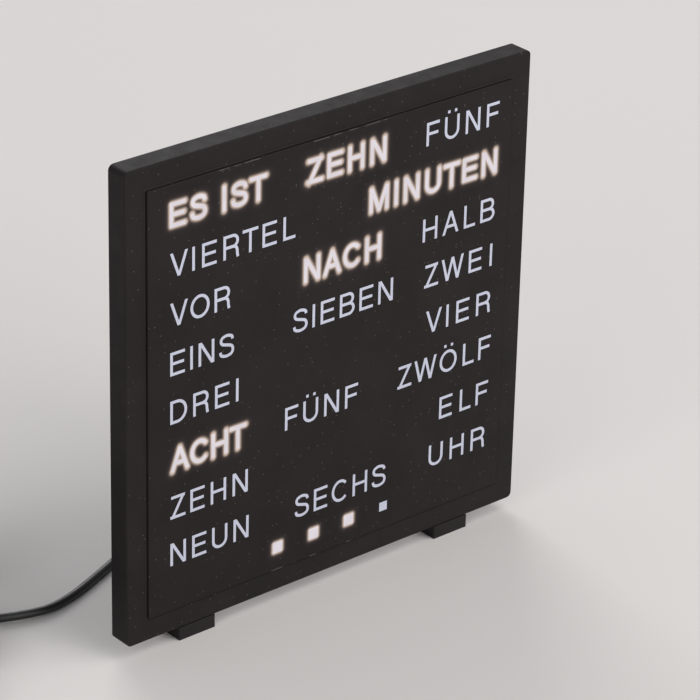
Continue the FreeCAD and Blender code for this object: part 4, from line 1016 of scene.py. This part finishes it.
def ribbed_profile(thick, thin, length):
    """A taper with evenly spaced grooves, from its thick end to its thin end."""
    profile = [(0, 0), (thick, 0), (thick, PLAIN_END)]
    pitch = (length - 2 * PLAIN_END) / SLEEVE_RIBS
    for k in range(SLEEVE_RIBS):
        start = PLAIN_END + k * pitch
        outer = thick + (thin - thick) * start / length
        outer_end = thick + (thin - thick) * (start + pitch) / length
        core = max(LEAST_CORE, outer - GROOVE_DEEP)
        profile += [
            (core, start + GROOVE_FROM),
            (core, start + pitch * GROOVE_UNTIL),
            (outer, start + pitch * RIB_FROM),
            (outer_end, start + pitch * RIB_UNTIL),
        ]
    return [*profile, (thin, length), (0, length)]


plug_low, plug_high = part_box("plug_relief")
plug_profile = ribbed_profile((plug_high.x - plug_low.x) / 2 / MM, SLEEVE_TIP, (plug_high.z - plug_low.z) / MM)
plug_top = Vector(((plug_low.x + plug_high.x) / 2, (plug_low.y + plug_high.y) / 2, plug_high.z))
plug_sleeve = lathe("plug_sleeve", plug_profile, plug_top, (0, 0, -1), cord_black)
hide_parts("plug_relief")

sleeve_thick = (sleeve_high.x - sleeve_low.x) / 2 / MM
sleeve_profile = ribbed_profile(sleeve_thick, SLEEVE_TIP, (sleeve_high.y - sleeve_low.y) / MM)
sleeve_root = Vector(((sleeve_low.x + sleeve_high.x) / 2, sleeve_high.y, (sleeve_low.z + sleeve_high.z) / 2))
adapter_sleeve = lathe("adapter_sleeve", sleeve_profile, sleeve_root, (0, -1, 0), cord_black)
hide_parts("adapter_relief")
print("sleeves end in a radius of", SLEEVE_TIP)

# %% [markdown]
# Four screws hold the housing in the frame, and their heads are all that shows of them. Each head has a cross
# pressed into it for the driver. The cross is cut out of the head's flat top as an outline, its walls go down
# from there, and a floor closes it, narrower than its mouth as a driver's tip is.

# %% The outline of a screw and of its cross
HEAD_RADIUS, HEAD_HIGH = 2.4, 1.5
HEAD_EDGE, EDGE_BULGE = 0.3, 0.3
SHANK_RADIUS = 1.1
CROSS_REACH, CROSS_HALF, CROSS_DEEP = 1.45, 0.32, 0.9
TIP_REACH, TIP_HALF = 0.55 * CROSS_REACH, 0.6 * CROSS_HALF
SCREW_STEPS = 32


def cross_at(reach, half, height):
    """The twelve corners of a cross, in order."""
    quarter = [(reach, -half), (reach, half), (half, half)]
    corners = []
    for k in range(4):
        turn = Matrix.Rotation(k * math.pi / 2, 2)
        corners += [(*(turn @ Vector(p)), height) for p in quarter]
    return corners


def screw_profile(length):
    """Radius and height of the screw's outline, counted from under its head."""
    return (
        (SHANK_RADIUS, -length),
        (SHANK_RADIUS, 0),
        (HEAD_RADIUS, 0),
        (HEAD_RADIUS, HEAD_HIGH - HEAD_EDGE),
        (HEAD_RADIUS - HEAD_EDGE * EDGE_BULGE, HEAD_HIGH - HEAD_EDGE * EDGE_BULGE),
        (HEAD_RADIUS - HEAD_EDGE, HEAD_HIGH),
    )


def flat_round_cross():
    """Triangles that fill the head's flat top except for the cross, as numbers of its corners."""
    edge, mouth = circle(HEAD_RADIUS - HEAD_EDGE, 0, SCREW_STEPS), cross_at(CROSS_REACH, CROSS_HALF, 0)
    flat = [Vector(p[:2]) for p in edge + mouth]
    outlines = list(range(len(edge))), list(range(len(edge), len(flat)))
    borders = [(a, b) for ring in outlines for a, b in zip(ring, ring[1:] + ring[:1])]
    points, _, triangles, origins, _, _ = geometry.delaunay_2d_cdt(flat, borders, [], 0, SAME_POINT / 10, True)
    kept = []
    for corners in triangles:
        middle = sum((points[c] for c in corners), Vector((0, 0))) / 3
        narrow, wide = sorted((abs(middle.x), abs(middle.y)))
        if narrow >= CROSS_HALF or wide >= CROSS_REACH:
            kept.append([origins[c][0] for c in corners])
    return kept


print("triangles round the cross", len(flat_round_cross()))

# %% [markdown]
# A screw is then a stack of circles joined one to the next, with the cross set into its top. The four of them
# are one piece, as in the frame, and their places and length come from the frame's own screws.

# %% Screws with a cross in the head
def cross_screw(mesh, place, length):
    """One screw whose head looks along +Y, added to a mesh."""

    def add(points):
        return [mesh.verts.new(Vector(place) + Vector((x, h, -z)) * MM) for x, z, h in points]

    loops = [add(circle(radius, height, SCREW_STEPS)) for radius, height in screw_profile(length)]
    for lower, upper in zip(loops, loops[1:]):
        join_loops(mesh, lower, upper)
    mesh.faces.new(loops[0][::-1])
    mouth = add(cross_at(CROSS_REACH, CROSS_HALF, HEAD_HIGH))
    bottom = add(cross_at(TIP_REACH, TIP_HALF, HEAD_HIGH - CROSS_DEEP))
    join_loops(mesh, mouth, bottom)
    mesh.faces.new(bottom)
    top = loops[-1] + mouth
    for a, b, c in flat_round_cross():
        mesh.faces.new((top[a], top[b], top[c]))


screws_low, screws_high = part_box("case_screws")
shank = (screws_high.y - screws_low.y) / MM - HEAD_HIGH
screw_mesh = bmesh.new()
for x in (screws_low.x + HEAD_RADIUS * MM, screws_high.x - HEAD_RADIUS * MM):
    for z in (screws_low.z + HEAD_RADIUS * MM, screws_high.z - HEAD_RADIUS * MM):
        cross_screw(screw_mesh, (x, screws_high.y - HEAD_HIGH * MM, z), shank)
bmesh.ops.recalc_face_normals(screw_mesh, faces=screw_mesh.faces)
cross_screws = new_piece("cross_screws", screw_mesh, screw_steel)
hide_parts("case_screws")
print("faces on the four screws", len(cross_screws.data.polygons), "shank in mm", round(shank, 2))

# %% [markdown]
# Mains pins are not bare along their whole length: the half next to the body wears an insulating sleeve,
# and only the tip is metal. Each pin is therefore two turned pieces, one black and one nickel, that
# together are exactly as long and as thick as the pin in the frame.

# %% Mains pins with insulating sleeves
pins_low, pins_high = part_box("adapter_pins")
pin_radius = (pins_high.y - pins_low.y) / 2 / MM
pin_length = (pins_high.z - pins_low.z) / MM
SLEEVED = 10.5
SLEEVE_EDGE, TIP_SINK = 0.2, 0.08
DOME_HIGH, DOME_STEPS = 2.0, 8

sleeve_outline = [
    (0, 0),
    (pin_radius, 0),
    (pin_radius, SLEEVED - SLEEVE_EDGE),
    (pin_radius - SLEEVE_EDGE, SLEEVED),
    (0, SLEEVED),
]
dome = [
    (pin_radius * math.cos(a), pin_length - DOME_HIGH + DOME_HIGH * math.sin(a))
    for a in (math.pi / 2 * k / DOME_STEPS for k in range(DOME_STEPS))
]
tip_outline = [(0, SLEEVED), (pin_radius - TIP_SINK, SLEEVED), *dome, (0, pin_length)]
for side, x in (("left", pins_low.x + pin_radius * MM), ("right", pins_high.x - pin_radius * MM)):
    root = Vector((x, (pins_low.y + pins_high.y) / 2, pins_low.z))
    for part, outline, material, slot_name in (
        ("sleeve", sleeve_outline, housing_black, "housing_black"),
        ("tip", tip_outline, pin_nickel, "pin_nickel"),
    ):
        lathe(f"pin_{part}_{side}", outline, root, (0, 0, 1), material)
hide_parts("adapter_pins")
print("pin in mm", round(pin_length, 1), "sleeved for", SLEEVED)

# %% [markdown]
# The length of the free lead follows the line itself, measured here once.

def line_length(points):
    """Length of the smooth line through control points, in metres."""
    probe = smooth_line("probe", points)
    mesh = bpy.data.meshes.new_from_object(probe)
    places = [v.co.copy() for v in mesh.vertices]
    bpy.data.meshes.remove(mesh)
    bpy.data.objects.remove(probe)
    return sum((b - a).length for a, b in zip(places, places[1:]))


lead_length = line_length(cord_points)
print("lead length in m", round(lead_length, 3))

# %% [markdown]
# The floor is one plain pale sheet that reaches far past the view. It is matt, so that the lamps leave no
# bright spot on it.

# %% Floor and world
FLOOR_HALF = 12.0
floor_data = bpy.data.meshes.new("floor")
floor_corners = [(x * FLOOR_HALF, y * FLOOR_HALF, 0) for x, y in ((-1, -1), (1, -1), (1, 1), (-1, 1))]
floor_data.from_pydata(floor_corners, [], [(0, 1, 2, 3)])
floor = shown("floor", floor_data)
floor_pale, floor_shader, _, _ = blank_material("floor_pale")
floor_shader.inputs["Base Color"].default_value = (0.72, 0.70, 0.68, 1)
floor_shader.inputs["Roughness"].default_value = 1.0
floor_shader.inputs["Specular IOR Level"].default_value = 0.05
floor.data.materials.append(floor_pale)

world = bpy.data.worlds.new("world")
world.use_nodes = True
sky = world.node_tree.nodes["Background"]
sky.inputs["Color"].default_value = (0.93, 0.95, 1.0, 1)
sky.inputs["Strength"].default_value = 0.35
bpy.context.scene.world = world
print("floor in m", 2 * FLOOR_HALF)

# %% [markdown]
# The lights are large, soft and far enough away to light the floor evenly, as in a product studio: a key from
# the upper right, a lower fill from the front, a weaker one from the left for the frame's side, and one from
# behind for the black housing. Their level is plain, so colours render about as written.

# %% Lights
def soft_light(name, place, size, power, colour=(1, 1, 1)):
    """A square area light that looks at the face."""
    data = bpy.data.lights.new(name, "AREA")
    data.shape = "SQUARE"
    data.size = size
    data.energy = power
    data.color = colour
    light = shown(name, data)
    light.location = place
    light.rotation_mode = "QUATERNION"
    light.rotation_quaternion = (face_middle - Vector(place)).to_track_quat("-Z", "Y")


soft_light("key", (1.0, -1.4, 2.3), 1.9, 31, (1.0, 0.98, 0.95))
soft_light("fill", (0.5, -2.3, 0.95), 1.5, 24, (1.0, 0.98, 0.98))
soft_light("rim", (1.0, 2.2, 1.7), 1.5, 30)
soft_light("side", (-2.2, -0.7, 1.0), 1.6, 14, (1.0, 0.98, 0.98))
print("lights", [lamp.name for lamp in bpy.data.lights])

# %% [markdown]
# The view transform stays plain, so that a colour in the scene is the colour in the picture.

# %% Finish
bpy.context.scene.view_settings.view_transform = "Standard"
